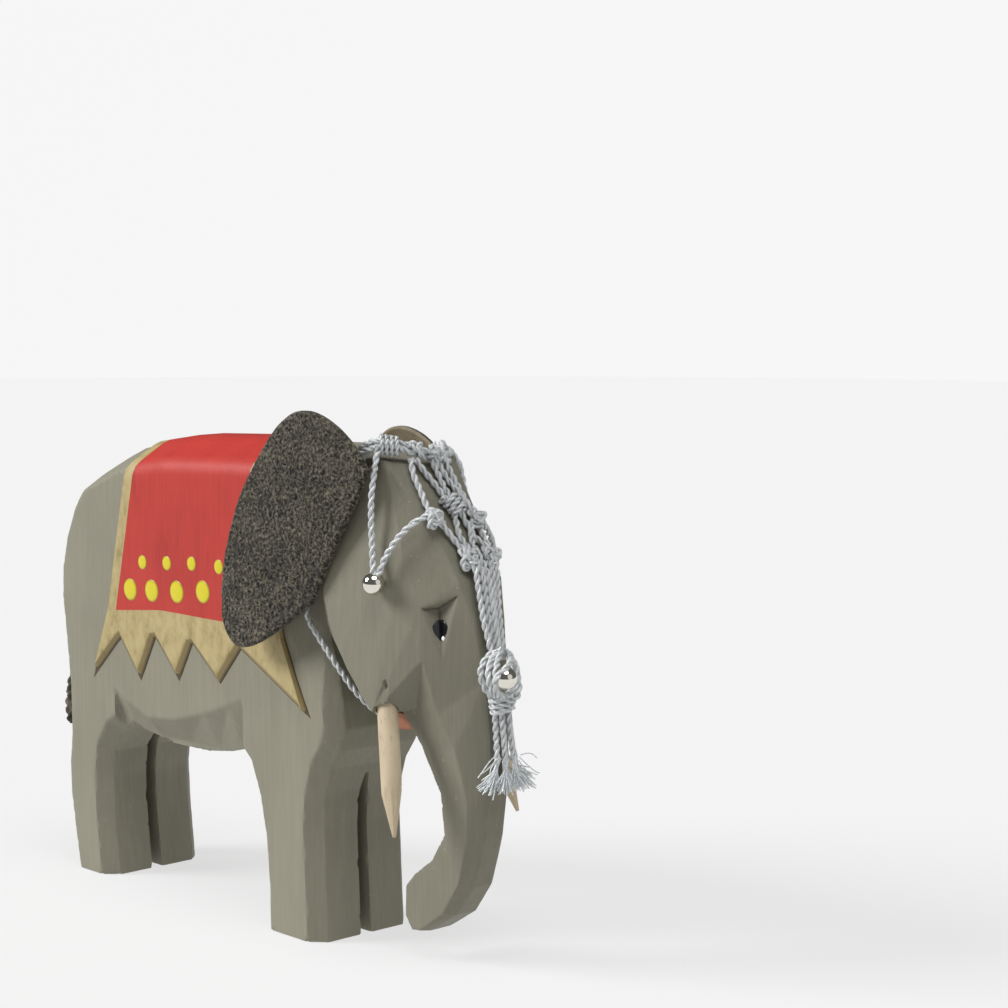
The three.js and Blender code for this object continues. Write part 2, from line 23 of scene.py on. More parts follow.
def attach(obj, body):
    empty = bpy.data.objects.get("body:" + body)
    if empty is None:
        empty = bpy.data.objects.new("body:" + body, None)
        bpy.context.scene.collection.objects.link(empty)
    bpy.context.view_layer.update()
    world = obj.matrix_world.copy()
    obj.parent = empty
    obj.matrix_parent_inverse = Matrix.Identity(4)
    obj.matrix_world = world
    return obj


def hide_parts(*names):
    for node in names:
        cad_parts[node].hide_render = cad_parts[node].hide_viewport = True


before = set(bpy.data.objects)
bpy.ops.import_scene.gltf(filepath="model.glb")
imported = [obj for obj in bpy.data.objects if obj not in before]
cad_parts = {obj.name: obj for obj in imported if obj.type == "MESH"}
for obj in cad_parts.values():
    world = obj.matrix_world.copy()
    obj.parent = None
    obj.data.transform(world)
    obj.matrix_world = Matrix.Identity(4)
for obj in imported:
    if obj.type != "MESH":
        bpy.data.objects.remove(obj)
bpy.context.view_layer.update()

LOG = logging.getLogger("elephant")

MM = 0.001
ORIGIN_X = 16.1  # millimetres from the middle of the feet to the middle of the whole figure


class Side(Enum):
    """One of the elephant's own sides, as the sign of its Y coordinate."""

    RIGHT = -1
    LEFT = 1

    @property
    def word(self) -> str:
        """The side's word in piece and node names."""
        return self.name.lower()


# ---------------------------------------------------------------- places and curves


def at(points: Sequence[Sequence[float]] | np.ndarray) -> np.ndarray:
    """Turn points in millimetres from the middle of the feet into metres in the frame.

    Args:
        points: rows of x, y, z in millimetres.

    Returns:
        The same rows in metres.
    """
    return (np.atleast_2d(np.asarray(points, float)) - [ORIGIN_X, 0.0, 0.0]) * MM


def mirrored(points: Sequence[Sequence[float]] | np.ndarray, side: Side) -> np.ndarray:
    """Put rows that are written for the right side onto the wanted side.

    Args:
        points: rows of x, y, z for the elephant's right side.
        side: the side wanted.

    Returns:
        The rows, with y turned over for the left side.
    """
    return np.asarray(points, float) * [1.0, -side.value, 1.0]


def smooth_path(points: np.ndarray, step: float) -> np.ndarray:
    """Run one smooth curve through the points and space it evenly.

    Args:
        points: the route's points.
        step: the distance wanted between points, in the points' own unit.

    Returns:
        Evenly spaced points on the curve, both ends included.
    """
    p = np.asarray(points, float)
    padded = np.vstack([2 * p[0] - p[1], p, 2 * p[-1] - p[-2]])
    t = np.linspace(0, 1, 20, endpoint=False)[:, None]
    spans = []
    for i in range(len(p) - 1):
        a, b, c, d = padded[i : i + 4]
        curve = 2 * b + (c - a) * t + (2 * a - 5 * b + 4 * c - d) * t**2
        spans.append(0.5 * (curve + (3 * b - a - 3 * c + d) * t**3))
    dense = np.vstack([*spans, p[-1:]])
    run = np.concatenate([[0], np.cumsum(np.linalg.norm(np.diff(dense, axis=0), axis=1))])
    even = np.linspace(0, run[-1], max(2, round(run[-1] / step) + 1))
    return np.stack([np.interp(even, run, dense[:, k]) for k in range(3)], 1)


def run_along(path: np.ndarray) -> np.ndarray:
    """Give the distance from the path's start to each of its points.

    Args:
        path: a curve's points.

    Returns:
        One distance for each point, from 0.
    """
    return np.concatenate([[0], np.cumsum(np.linalg.norm(np.diff(path, axis=0), axis=1))])


def carried_frames(path: np.ndarray) -> tuple[np.ndarray, np.ndarray]:
    """Carry two crosswise directions along a path without twist.

    Args:
        path: the points of a curve.

    Returns:
        Two arrays of unit vectors, both square to the path.
    """
    tangent = np.gradient(path, axis=0)
    tangent /= np.linalg.norm(tangent, axis=1)[:, None]
    start = np.cross(tangent[0], [0.0, 0.0, 1.0])
    if np.linalg.norm(start) < 0.2:
        start = np.cross(tangent[0], [1.0, 0.0, 0.0])
    across = np.empty_like(path)
    carried = start
    for i, t in enumerate(tangent):
        carried = carried - (carried @ t) * t
        carried = carried / np.linalg.norm(carried)
        across[i] = carried
    return across, np.cross(tangent, across)


@dataclass
class Shell:
    """Faces that are gathered here and made into one mesh object."""

    points: list[np.ndarray] = field(default_factory=list)
    faces: list[list[int]] = field(default_factory=list)
    uvs: list[tuple[float, float]] = field(default_factory=list)
    slots: list[int] = field(default_factory=list)
    count: int = 0

    def add(
        self,
        points: np.ndarray,
        faces: Sequence[Sequence[int]],
        uvs: Sequence[tuple[float, float]] | None = None,
        slot: int = 0,
    ) -> None:
        """Add a piece of surface.

        Args:
            points: its corners, in metres.
            faces: its faces, by corner number, seen from outside anticlockwise.
            uvs: one pair for each corner of each face.
            slot: which of the object's materials it takes.
        """
        self.points.append(np.asarray(points, float))
        base = self.count
        self.faces.extend([[base + i for i in f] for f in faces])
        self.uvs.extend(uvs if uvs is not None else [(0.0, 0.0)] * sum(len(f) for f in faces))
        self.slots.extend([slot] * len(faces))
        self.count += len(points)

    def tube(self, path: np.ndarray, radius: float | np.ndarray, sides: int, slot: int = 0) -> None:
        """Add a round tube with closed ends along a path.

        Args:
            path: its centreline, in metres.
            radius: one radius, one for each point, or a row round the section for each point.
            sides: how many sides its section has.
            slot: which of the object's materials it takes.
        """
        across, upward = carried_frames(path)
        radii = np.asarray(radius, float)
        if radii.ndim < 2:
            radii = np.broadcast_to(radii, (len(path),))[:, None]
        turn = np.linspace(0, 2 * math.pi, sides, endpoint=False)
        ring = np.cos(turn)[None, :, None] * across[:, None] + np.sin(turn)[None, :, None] * upward[:, None]
        points = (path[:, None] + ring * radii[:, :, None]).reshape(-1, 3)
        along = run_along(path) / MM
        faces: list[list[int]] = []
        uvs: list[tuple[float, float]] = []
        for i in range(len(path) - 1):
            low, high = along[i], along[i + 1]
            for j in range(sides):
                k = (j + 1) % sides
                faces.append([i * sides + j, i * sides + k, (i + 1) * sides + k, (i + 1) * sides + j])
                u, w = j / sides, (j + 1) / sides
                uvs += [(u, low), (w, low), (w, high), (u, high)]
        last = (len(path) - 1) * sides
        faces += [list(range(sides - 1, -1, -1)), [last + j for j in range(sides)]]
        uvs += [(0.0, 0.0)] * (2 * sides)
        self.add(points, faces, uvs, slot)

    def mesh_object(
        self, name: str, materials: Sequence[bpy.types.Material], smooth: bool = True,
    ) -> bpy.types.Object:
        """Make the object, with its place in its mesh and its own map in millimetres.

        Args:
            name: the piece's name.
            materials: its materials, in the order of the slots.
            smooth: whether its faces are shaded smooth.

        Returns:
            The new object, linked to the scene.
        """
        mesh = bpy.data.meshes.new(name)
        mesh.from_pydata(np.vstack(self.points).tolist(), [], self.faces)
        layer = mesh.uv_layers.new(name="surface")
        layer.data.foreach_set("uv", np.asarray(self.uvs, np.float32).ravel())
        mesh.polygons.foreach_set("material_index", self.slots)
        mesh.polygons.foreach_set("use_smooth", [smooth] * len(self.faces))
        mesh.update()
        made = bpy.data.objects.new(name, mesh)
        bpy.context.scene.collection.objects.link(made)
        for material in materials:
            mesh.materials.append(material)
        return made


# ---------------------------------------------------------------- materials


def colour(text: str, alpha: float = 1.0) -> tuple[float, float, float, float]:
    """Turn an sRGB hex colour into the linear values that a shader takes.

    Args:
        text: six hex digits, with or without a leading #.
        alpha: the fourth value.

    Returns:
        Linear red, green, blue and alpha.
    """
    values = [int(text.lstrip("#")[i : i + 2], 16) / 255 for i in (0, 2, 4)]
    linear = [v / 12.92 if v <= 0.04045 else ((v + 0.055) / 1.055) ** 2.4 for v in values]
    return (linear[0], linear[1], linear[2], alpha)


class Wiring:
    """A node tree while it is being written."""

    def __init__(self, tree: bpy.types.NodeTree) -> None:
        """Keep the tree that the nodes go into.

        Args:
            tree: the tree.
        """
        self.tree = tree

    def node(
        self,
        kind: str,
        inputs: dict[str | int, Any] | None = None,
        stops: Sequence[tuple[float, str]] = (),
        **settings: Any,
    ) -> bpy.types.Node:
        """Add one node with its settings, values and links.

        Args:
            kind: the node's type name.
            inputs: for each input, a value, a hex colour or the output that feeds it.
            stops: for a node with a colour ramp, its positions and their hex colours.
            settings: properties of the node itself.

        Returns:
            The new node.
        """
        made = self.tree.nodes.new(kind)
        for key, value in settings.items():
            setattr(made, key, value)
        for key, value in (inputs or {}).items():
            if isinstance(value, bpy.types.NodeSocket):
                self.tree.links.new(value, made.inputs[key])
            elif isinstance(value, str) and value.startswith("#"):
                made.inputs[key].default_value = colour(value)
            else:
                made.inputs[key].default_value = value
        if stops:
            elements = made.color_ramp.elements
            while len(elements) < len(stops):
                elements.new(0.5)
            for element, (place, text) in zip(elements, stops):
                element.position = place
                element.color = colour(text)
        return made


class Recipe(Wiring):
    """A material's node tree while it is being written."""

    def __init__(self, name: str) -> None:
        """Start a material with an empty principled shader.

        Args:
            name: the material's name.
        """
        self.material = bpy.data.materials.new(name)
        self.material.use_nodes = True
        super().__init__(self.material.node_tree)
        self.shader = self.tree.nodes["Principled BSDF"]

    def shade(self, **inputs: Any) -> None:
        """Set or link the shader's own inputs, named with underscores for spaces.

        Args:
            inputs: for each input, a value or the output that feeds it.
        """
        for key, value in inputs.items():
            socket = self.shader.inputs[key.replace("_", " ")]
            if isinstance(value, bpy.types.NodeSocket):
                self.tree.links.new(value, socket)
            else:
                socket.default_value = value

    def place(self, scale: tuple[float, float, float]) -> bpy.types.NodeSocket:
        """Give the object's own coordinates, stretched by a scale per axis.

        Args:
            scale: the stretch along x, y and z.

        Returns:
            The coordinates' socket.
        """
        where = self.node("ShaderNodeTexCoord").outputs["Object"]
        return self.node("ShaderNodeMapping", {"Vector": where, "Scale": scale}).outputs[0]

    def surface(self, scale: tuple[float, float, float]) -> bpy.types.NodeSocket:
        """Give the piece's own map, stretched by a scale per axis.

        Args:
            scale: the stretch round, along and across.

        Returns:
            The coordinates' socket.
        """
        where = self.node("ShaderNodeUVMap", uv_map="surface").outputs[0]
        return self.node("ShaderNodeMapping", {"Vector": where, "Scale": scale}).outputs[0]

    def bump(self, *layers: tuple[bpy.types.NodeSocket, float]) -> None:
        """Stack bumps, each a height and its depth in millimetres, onto the shader's normal.

        Args:
            layers: pairs of a height and its depth, the lowest first.
        """
        normal = None
        for height, depth in layers:
            inputs: dict[str | int, Any] = {"Height": height, "Distance": depth * MM, "Strength": 1.0}
            if normal is not None:
                inputs["Normal"] = normal
            normal = self.node("ShaderNodeBump", inputs).outputs[0]
        self.shade(Normal=normal)


@dataclass(frozen=True)
class StainedLime:
    """Carved limewood under a thin grey water stain.

    The knife leaves it flat and matt; the stain shows faint upright streaks of the grain.
    """

    light: str = "#8c8978"
    middle: str = "#848171"
    dark: str = "#7b7868"
    name: str = "stained_limewood"
    crease: str = "#2e261d"  # painted shade along the cuts of the eye hollows
    streak_mm: float = 1.3  # width of a streak across the grain
    roughness: float = 0.62

    def material(self) -> bpy.types.Material:
        """Make the material."""
        r = Recipe(self.name)
        across = 1000 / self.streak_mm
        streaks = r.node("ShaderNodeTexNoise", {
            "Vector": r.place((across, across, across * 0.045)), "Scale": 1.0, "Detail": 4.0,
            "Roughness": 0.6,
        }).outputs[0]
        fine = r.node("ShaderNodeTexNoise", {
            "Vector": r.place((across * 4, across * 4, across * 0.25)), "Scale": 1.0, "Detail": 2.0,
            "Roughness": 0.6,
        }).outputs[0]
        cloud = r.node("ShaderNodeTexNoise", {
            "Vector": r.place((45.0, 45.0, 28.0)), "Scale": 1.0, "Detail": 3.0, "Roughness": 0.55,
        }).outputs[0]
        both = r.node("ShaderNodeMath", {
            0: r.node("ShaderNodeMath", {0: streaks, 1: 0.55}, operation="MULTIPLY").outputs[0],
            1: r.node("ShaderNodeMath", {0: cloud, 1: 0.45}, operation="MULTIPLY").outputs[0],
        }, operation="ADD").outputs[0]
        base = r.node(
            "ShaderNodeValToRGB", {0: both},
            stops=[(0.26, self.dark), (0.5, self.middle), (0.74, self.light)],
        ).outputs[0]
        base = r.node("ShaderNodeMix", {
            0: r.node("ShaderNodeMath", {0: fine, 1: 0.12}, operation="MULTIPLY").outputs[0], 6: base,
            7: self.dark,
        }, data_type="RGBA").outputs[2]
        # painted shade: the wood is darkened along the creases of the eye hollows
        crease = r.node("ShaderNodeAttribute", attribute_name="crease").outputs["Fac"]
        base = r.node("ShaderNodeMix", {
            0: r.node("ShaderNodeMath", {0: crease, 1: 0.85}, operation="MULTIPLY").outputs[0], 6: base,
            7: self.crease,
        }, data_type="RGBA").outputs[2]
        specks = r.node("ShaderNodeTexNoise", {
            "Vector": r.place((620.0, 620.0, 620.0)), "Scale": 1.0, "Detail": 0.0, "Roughness": 0.5,
        }).outputs[0]
        speck = r.node("ShaderNodeMath", {0: specks, 1: 0.83}, operation="GREATER_THAN").outputs[0]
        base = r.node("ShaderNodeMix", {
            0: r.node("ShaderNodeMath", {0: speck, 1: 0.3}, operation="MULTIPLY").outputs[0], 6: base,
            7: "#aaa593",
        }, data_type="RGBA").outputs[2]
        rough = r.node("ShaderNodeMath", {
            0: fine, 1: 0.16, 2: self.roughness - 0.08,
        }, operation="MULTIPLY_ADD").outputs[0]
        r.shade(Base_Color=base, Roughness=rough)
        r.shader.inputs["Specular IOR Level"].default_value = 0.38
        r.bump((streaks, 0.022), (fine, 0.02))
        return r.material


@dataclass(frozen=True)
class BrushedPaint:
    """Thin opaque paint brushed over carved wood, with the grain just showing."""

    name: str
    light: str
    middle: str
    dark: str
    roughness: float = 0.5

    def material(self) -> bpy.types.Material:
        """Make the material."""
        r = Recipe(self.name)
        streaks = r.node("ShaderNodeTexNoise", {
            "Vector": r.place((900.0, 900.0, 48.0)), "Scale": 1.0, "Detail": 3.0, "Roughness": 0.6,
        }).outputs[0]
        cloud = r.node("ShaderNodeTexNoise", {
            "Vector": r.place((60.0, 60.0, 36.0)), "Scale": 1.0, "Detail": 3.0, "Roughness": 0.5,
        }).outputs[0]
        both = r.node("ShaderNodeMath", {
            0: r.node("ShaderNodeMath", {0: streaks, 1: 0.5}, operation="MULTIPLY").outputs[0],
            1: r.node("ShaderNodeMath", {0: cloud, 1: 0.5}, operation="MULTIPLY").outputs[0],
        }, operation="ADD").outputs[0]
        r.shade(
            Base_Color=r.node(
                "ShaderNodeValToRGB", {0: both},
                stops=[(0.3, self.dark), (0.5, self.middle), (0.7, self.light)],
            ).outputs[0],
            Roughness=self.roughness,
        )
        r.shader.inputs["Specular IOR Level"].default_value = 0.3
        r.bump((streaks, 0.04))
        return r.material


@dataclass(frozen=True)
class AntiquedGoldWithPaintedShade:
    """Ochre-gold paint rubbed with brown: clean on the flats, darker on the cut bevels and near black at
    their foot, partly rubbed-in brown and partly painted shade and shadow.
    """

    light: str = "#b5a575"
    middle: str = "#a89767"
    # bevels: rubbed-in brown and painted shade on the sloped cuts
    bevel: str = "#806d40"
    # foot of the relief: rubbed-in brown and a painted shadow line under the cut edge
    edge: str = "#372812"
    roughness: float = 0.48

    def material(self) -> bpy.types.Material:
        """Make the material. It reads how near a point is to the cloth's cut edge from an attribute."""
        r = Recipe("antiqued_gold_and_painted_shade")
        rim = r.node("ShaderNodeAttribute", attribute_name="rim").outputs["Fac"]
        cloud = r.node("ShaderNodeTexNoise", {
            "Vector": r.place((210.0, 210.0, 120.0)), "Scale": 1.0, "Detail": 5.0, "Roughness": 0.65,
        }).outputs[0]
        streaks = r.node("ShaderNodeTexNoise", {
            "Vector": r.place((900.0, 900.0, 60.0)), "Scale": 1.0, "Detail": 3.0, "Roughness": 0.6,
        }).outputs[0]
        flat = r.node(
            "ShaderNodeValToRGB", {0: cloud},
            stops=[(0.32, "#8f7d4e"), (0.46, self.middle), (0.62, self.light)],
        ).outputs[0]
        flat = r.node("ShaderNodeMix", {
            0: r.node("ShaderNodeMath", {0: streaks, 1: 0.22}, operation="MULTIPLY").outputs[0], 6: flat,
            7: "#7d6a40",
        }, data_type="RGBA").outputs[2]
        worn = r.node("ShaderNodeMath", {0: cloud, 1: 0.34, 2: -0.17}, operation="MULTIPLY_ADD").outputs[0]
        cut = r.node("ShaderNodeMapRange", {
            0: r.node("ShaderNodeMath", {0: rim, 1: worn}, operation="ADD").outputs[0], 1: 0.03, 2: 0.22,
        })
        # the bevels darkened: rubbed-in brown and painted shade
        sloped = r.node("ShaderNodeMix", {
            0: r.node("ShaderNodeMath", {0: cut.outputs[0], 1: 0.72}, operation="MULTIPLY").outputs[0],
            6: flat, 7: self.bevel,
        }, data_type="RGBA").outputs[2]
        # the foot of the relief near black: rubbed-in brown and a painted shadow line
        low = r.node("ShaderNodeMapRange", {
            0: r.node("ShaderNodeMath", {0: rim, 1: worn}, operation="ADD").outputs[0], 1: 0.55, 2: 0.92,
        })
        r.shade(
            Base_Color=r.node("ShaderNodeMix", {
                0: r.node("ShaderNodeMath", {0: low.outputs[0], 1: 0.9}, operation="MULTIPLY").outputs[0],
                6: sloped, 7: self.edge,
            }, data_type="RGBA").outputs[2],
            Roughness=self.roughness,
        )
        r.bump((cloud, 0.07), (streaks, 0.04))
        return r.material


@dataclass(frozen=True)
class PaintDot:
    """A dab of bright yellow paint that has run a little thin at its rim."""

    middle: str = "#cdbf16"
    rim: str = "#8b8412"
    roughness: float = 0.38

    def material(self) -> bpy.types.Material:
        """Make the material. It reads the distance from the dab's middle from an attribute."""
        r = Recipe("yellow_paint_dot")
        out = r.node("ShaderNodeAttribute", attribute_name="rim").outputs["Fac"]
        cloud = r.node("ShaderNodeTexNoise", {
            "Vector": r.place((500.0, 500.0, 500.0)), "Scale": 1.0, "Detail": 2.0, "Roughness": 0.5,
        }).outputs[0]
        base = r.node(
            "ShaderNodeValToRGB",
            {
                0: r.node("ShaderNodeMath", {
                    0: out,
                    1: r.node("ShaderNodeMath", {0: cloud, 1: 0.08}, operation="MULTIPLY").outputs[0],
                }, operation="ADD").outputs[0]
            },
            stops=[(0.80, self.middle), (0.93, "#b4aa14"), (1.02, self.rim)],
        ).outputs[0]
        r.shade(Base_Color=base, Roughness=self.roughness)
        r.bump((cloud, 0.05))
        return r.material


@dataclass(frozen=True)
class Suede:
    """The rough flesh side of thick leather: crumbly nap whose colour follows its height, with painted shade
    in the pits and painted light on the tufts.
    """

    # painted shade of the pits
    pit_shade: str = "#0c0b08"
    middle: str = "#3d3930"
    # painted light on the tufts
    tuft_light: str = "#797262"
    nap_mm: float = 1.05
    roughness: float = 0.93

    def material(self) -> bpy.types.Material:
        """Make the material."""
        r = Recipe("suede_nap")
        size = 1000 / self.nap_mm
        wander = r.node("ShaderNodeVectorMath", {
            0: r.place((1.0, 1.0, 1.0)), 1: self.wobble(r),
        }, operation="ADD")
        nap = r.node("ShaderNodeTexNoise", {
            "Vector": r.node("ShaderNodeVectorMath", {
                0: wander.outputs[0], "Scale": size,
            }, operation="SCALE").outputs[0],
            "Scale": 1.0,
            "Detail": 3.0,
            "Roughness": 0.62,
        }).outputs[0]
        cloud = r.node("ShaderNodeTexNoise", {
            "Vector": r.place((70.0, 70.0, 70.0)), "Scale": 1.0, "Detail": 2.0, "Roughness": 0.5,
        }).outputs[0]
        lit = r.node("ShaderNodeMath", {
            0: nap,
            1: r.node("ShaderNodeMath", {0: cloud, 1: 0.16, 2: -0.08}, operation="MULTIPLY_ADD").outputs[0],
        }, operation="ADD").outputs[0]
        # painted shade in the pits and painted light on the tufts, by the nap's height; the cloud adds the
        # leather's own mottle
        base = r.node(
            "ShaderNodeValToRGB", {0: lit}, stops=[(0.36, self.pit_shade), (0.5, self.middle), (0.7, self.tuft_light)],
        ).outputs[0]
        r.shade(Base_Color=base, Roughness=self.roughness)
        r.shader.inputs["Specular IOR Level"].default_value = 0.25
        r.shader.inputs["Sheen Weight"].default_value = 0.12
        r.bump((nap, 0.8))
        return r.material

    def wobble(self, r: Recipe) -> bpy.types.NodeSocket:
        """Give a small vector that makes the tufts curl instead of standing in rows.

        Args:
            r: the material that is being written.

        Returns:
            The vector's socket.
        """
        noise_node = r.node("ShaderNodeTexNoise", {
            "Vector": r.place((420.0, 420.0, 420.0)), "Scale": 1.0, "Detail": 1.0,
        })
        return r.node("ShaderNodeVectorMath", {
            0: noise_node.outputs[1], "Scale": 0.0016,
        }, operation="SCALE").outputs[0]


@dataclass(frozen=True)
class GrainLeather:
    """The smooth side and cut edge of the same leather, waxed brown-grey with fine pores."""

    name: str = "grain_leather"
    middle: str = "#71664f"
    dark: str = "#594e3c"
    light: str = "#837760"
    roughness: float = 0.66

    def material(self) -> bpy.types.Material:
        """Make the material."""
        r = Recipe(self.name)
        cloud = r.node("ShaderNodeTexNoise", {
            "Vector": r.place((160.0, 160.0, 160.0)), "Scale": 1.0, "Detail": 5.0, "Roughness": 0.6,
        }).outputs[0]
        pores = r.node("ShaderNodeTexVoronoi", {
            "Vector": r.place((1400.0, 1400.0, 1400.0)), "Scale": 1.0,
        }).outputs[0]
        r.shade(
            Base_Color=r.node(
                "ShaderNodeValToRGB", {0: cloud},
                stops=[(0.3, self.dark), (0.5, self.middle), (0.7, self.light)],
            ).outputs[0],
            Roughness=self.roughness,
        )
        r.bump((cloud, 0.15), (pores, 0.06))
        return r.material


@dataclass(frozen=True)
class BareBeech:
    """Turned beech left bare: pale, with short dark flecks along the grain."""

    light: str = "#c4b498"
    middle: str = "#b3a287"
    fleck: str = "#856c52"
    roughness: float = 0.55

    def material(self) -> bpy.types.Material:
        """Make the material. Its map runs round and along the peg in millimetres."""
        r = Recipe("bare_beech")
        tone = r.node("ShaderNodeTexNoise", {
            "Vector": r.surface((3.0, 0.06, 1.0)), "Scale": 1.0, "Detail": 3.0, "Roughness": 0.5,
        }).outputs[0]
        flecks = r.node("ShaderNodeTexNoise", {
            "Vector": r.surface((34.0, 0.2, 1.0)), "Scale": 1.0, "Detail": 3.0, "Roughness": 0.7,
        }).outputs[0]
        base = r.node(
            "ShaderNodeValToRGB", {0: tone}, stops=[(0.3, self.middle), (0.65, self.light)],
        ).outputs[0]
        shown = r.node("ShaderNodeMapRange", {0: flecks, 1: 0.58, 2: 0.70})
        r.shade(
            Base_Color=r.node("ShaderNodeMix", {
                0: r.node("ShaderNodeMath", {0: shown.outputs[0], 1: 0.72}, operation="MULTIPLY").outputs[0],
                6: base,
                7: self.fleck,
            }, data_type="RGBA").outputs[2],
            Roughness=self.roughness,
        )
        r.bump((flecks, 0.08))
        return r.material


@dataclass(frozen=True)
class PolishedNickel:
    """Nickel-plated bead, polished: it mirrors the pale studio."""

    base: str = "#e4e1d6"
    roughness: float = 0.07

    def material(self) -> bpy.types.Material:
        """Make the material."""
        r = Recipe("polished_nickel")
        smear = r.node("ShaderNodeTexNoise", {
            "Vector": r.place((300.0, 300.0, 300.0)), "Scale": 1.0, "Detail": 2.0, "Roughness": 0.5,
        }).outputs[0]
        r.shade(
            Base_Color=colour(self.base),
            Roughness=r.node("ShaderNodeMath", {
                0: smear, 1: 0.06, 2: self.roughness - 0.03,
            }, operation="MULTIPLY_ADD").outputs[0],
        )
        r.shader.inputs["Metallic"].default_value = 1.0
        return r.material


@dataclass(frozen=True)
class SilverYarn:
    """Metallised yarn: each strand is a bundle of shiny threads laid at a slant."""

    bright: str = "#fdfefe"
    middle: str = "#d3d8da"
    shade: str = "#6f7578"
    thread_mm: float = 0.32
    roughness: float = 0.36
    metallic: float = 0.15

    def material(self) -> bpy.types.Material:
        """Make the material. Its map runs round each strand and along it in millimetres."""
        r = Recipe("silver_yarn")
        where = r.node("ShaderNodeUVMap", uv_map="surface").outputs[0]
        parts = r.node("ShaderNodeSeparateXYZ", {0: where})
        slant = r.node("ShaderNodeMath", {
            0: r.node("ShaderNodeMath", {0: parts.outputs[0], 1: 6.0}, operation="MULTIPLY").outputs[0],
            1: r.node("ShaderNodeMath", {
                0: parts.outputs[1], 1: 1.0 / (2 * self.thread_mm),
            }, operation="MULTIPLY").outputs[0],
        }, operation="ADD").outputs[0]
        threads = r.node("ShaderNodeMath", {
            0: r.node("ShaderNodeMath", {
                0: r.node("ShaderNodeMath", {0: slant, 1: 2 * math.pi}, operation="MULTIPLY").outputs[0]
            }, operation="SINE").outputs[0],
            1: 0.5,
            2: 0.5,
        }, operation="MULTIPLY_ADD").outputs[0]
        glint = r.node("ShaderNodeTexNoise", {
            "Vector": r.place((1500.0, 1500.0, 1500.0)), "Scale": 1.0, "Detail": 2.0, "Roughness": 0.6,
        }).outputs[0]
        both = r.node("ShaderNodeMath", {
            0: r.node("ShaderNodeMath", {0: threads, 1: 0.6}, operation="MULTIPLY").outputs[0],
            1: r.node("ShaderNodeMath", {0: glint, 1: 0.4}, operation="MULTIPLY").outputs[0],
        }, operation="ADD").outputs[0]
        base = r.node(
            "ShaderNodeValToRGB", {0: both},
            stops=[(0.22, self.shade), (0.48, self.middle), (0.68, self.bright)],
        ).outputs[0]
        r.shade(Base_Color=base, Roughness=self.roughness)
        r.shader.inputs["Metallic"].default_value = self.metallic
        r.bump((threads, 0.09), (glint, 0.1))
        return r.material


@dataclass(frozen=True)
class GlossEnamel:
    """A drop of gloss enamel, as on a painted eye."""

    name: str
    middle: str
    roughness: float = 0.16

    def material(self) -> bpy.types.Material:
        """Make the material."""
        r = Recipe(self.name)
        uneven = r.node("ShaderNodeTexNoise", {
            "Vector": r.place((700.0, 700.0, 700.0)), "Scale": 1.0, "Detail": 2.0, "Roughness": 0.5,
        }).outputs[0]
        r.shade(
            Base_Color=colour(self.middle),
            Roughness=r.node("ShaderNodeMath", {
                0: uneven, 1: 0.12, 2: self.roughness - 0.04,
            }, operation="MULTIPLY_ADD").outputs[0],
        )
        r.bump((uneven, 0.05))
        return r.material


@dataclass(frozen=True)
class StudioPaper:
    """Pale seamless paper that is lit from behind as well, so that shadows on it stay faint."""

    name: str
    tone: float  # how much it reflects
    glow: float  # how much it gives of itself

    def material(self) -> bpy.types.Material:
        """Make the material."""
        r = Recipe(self.name)
        r.shade(Base_Color=(self.tone, self.tone, self.tone, 1.0), Roughness=0.95)
        r.shader.inputs["Specular IOR Level"].default_value = 0.0
        r.shader.inputs["Emission Color"].default_value = colour("#ffffff")
        r.shader.inputs["Emission Strength"].default_value = self.glow
        return r.material


# ---------------------------------------------------------------- the studio


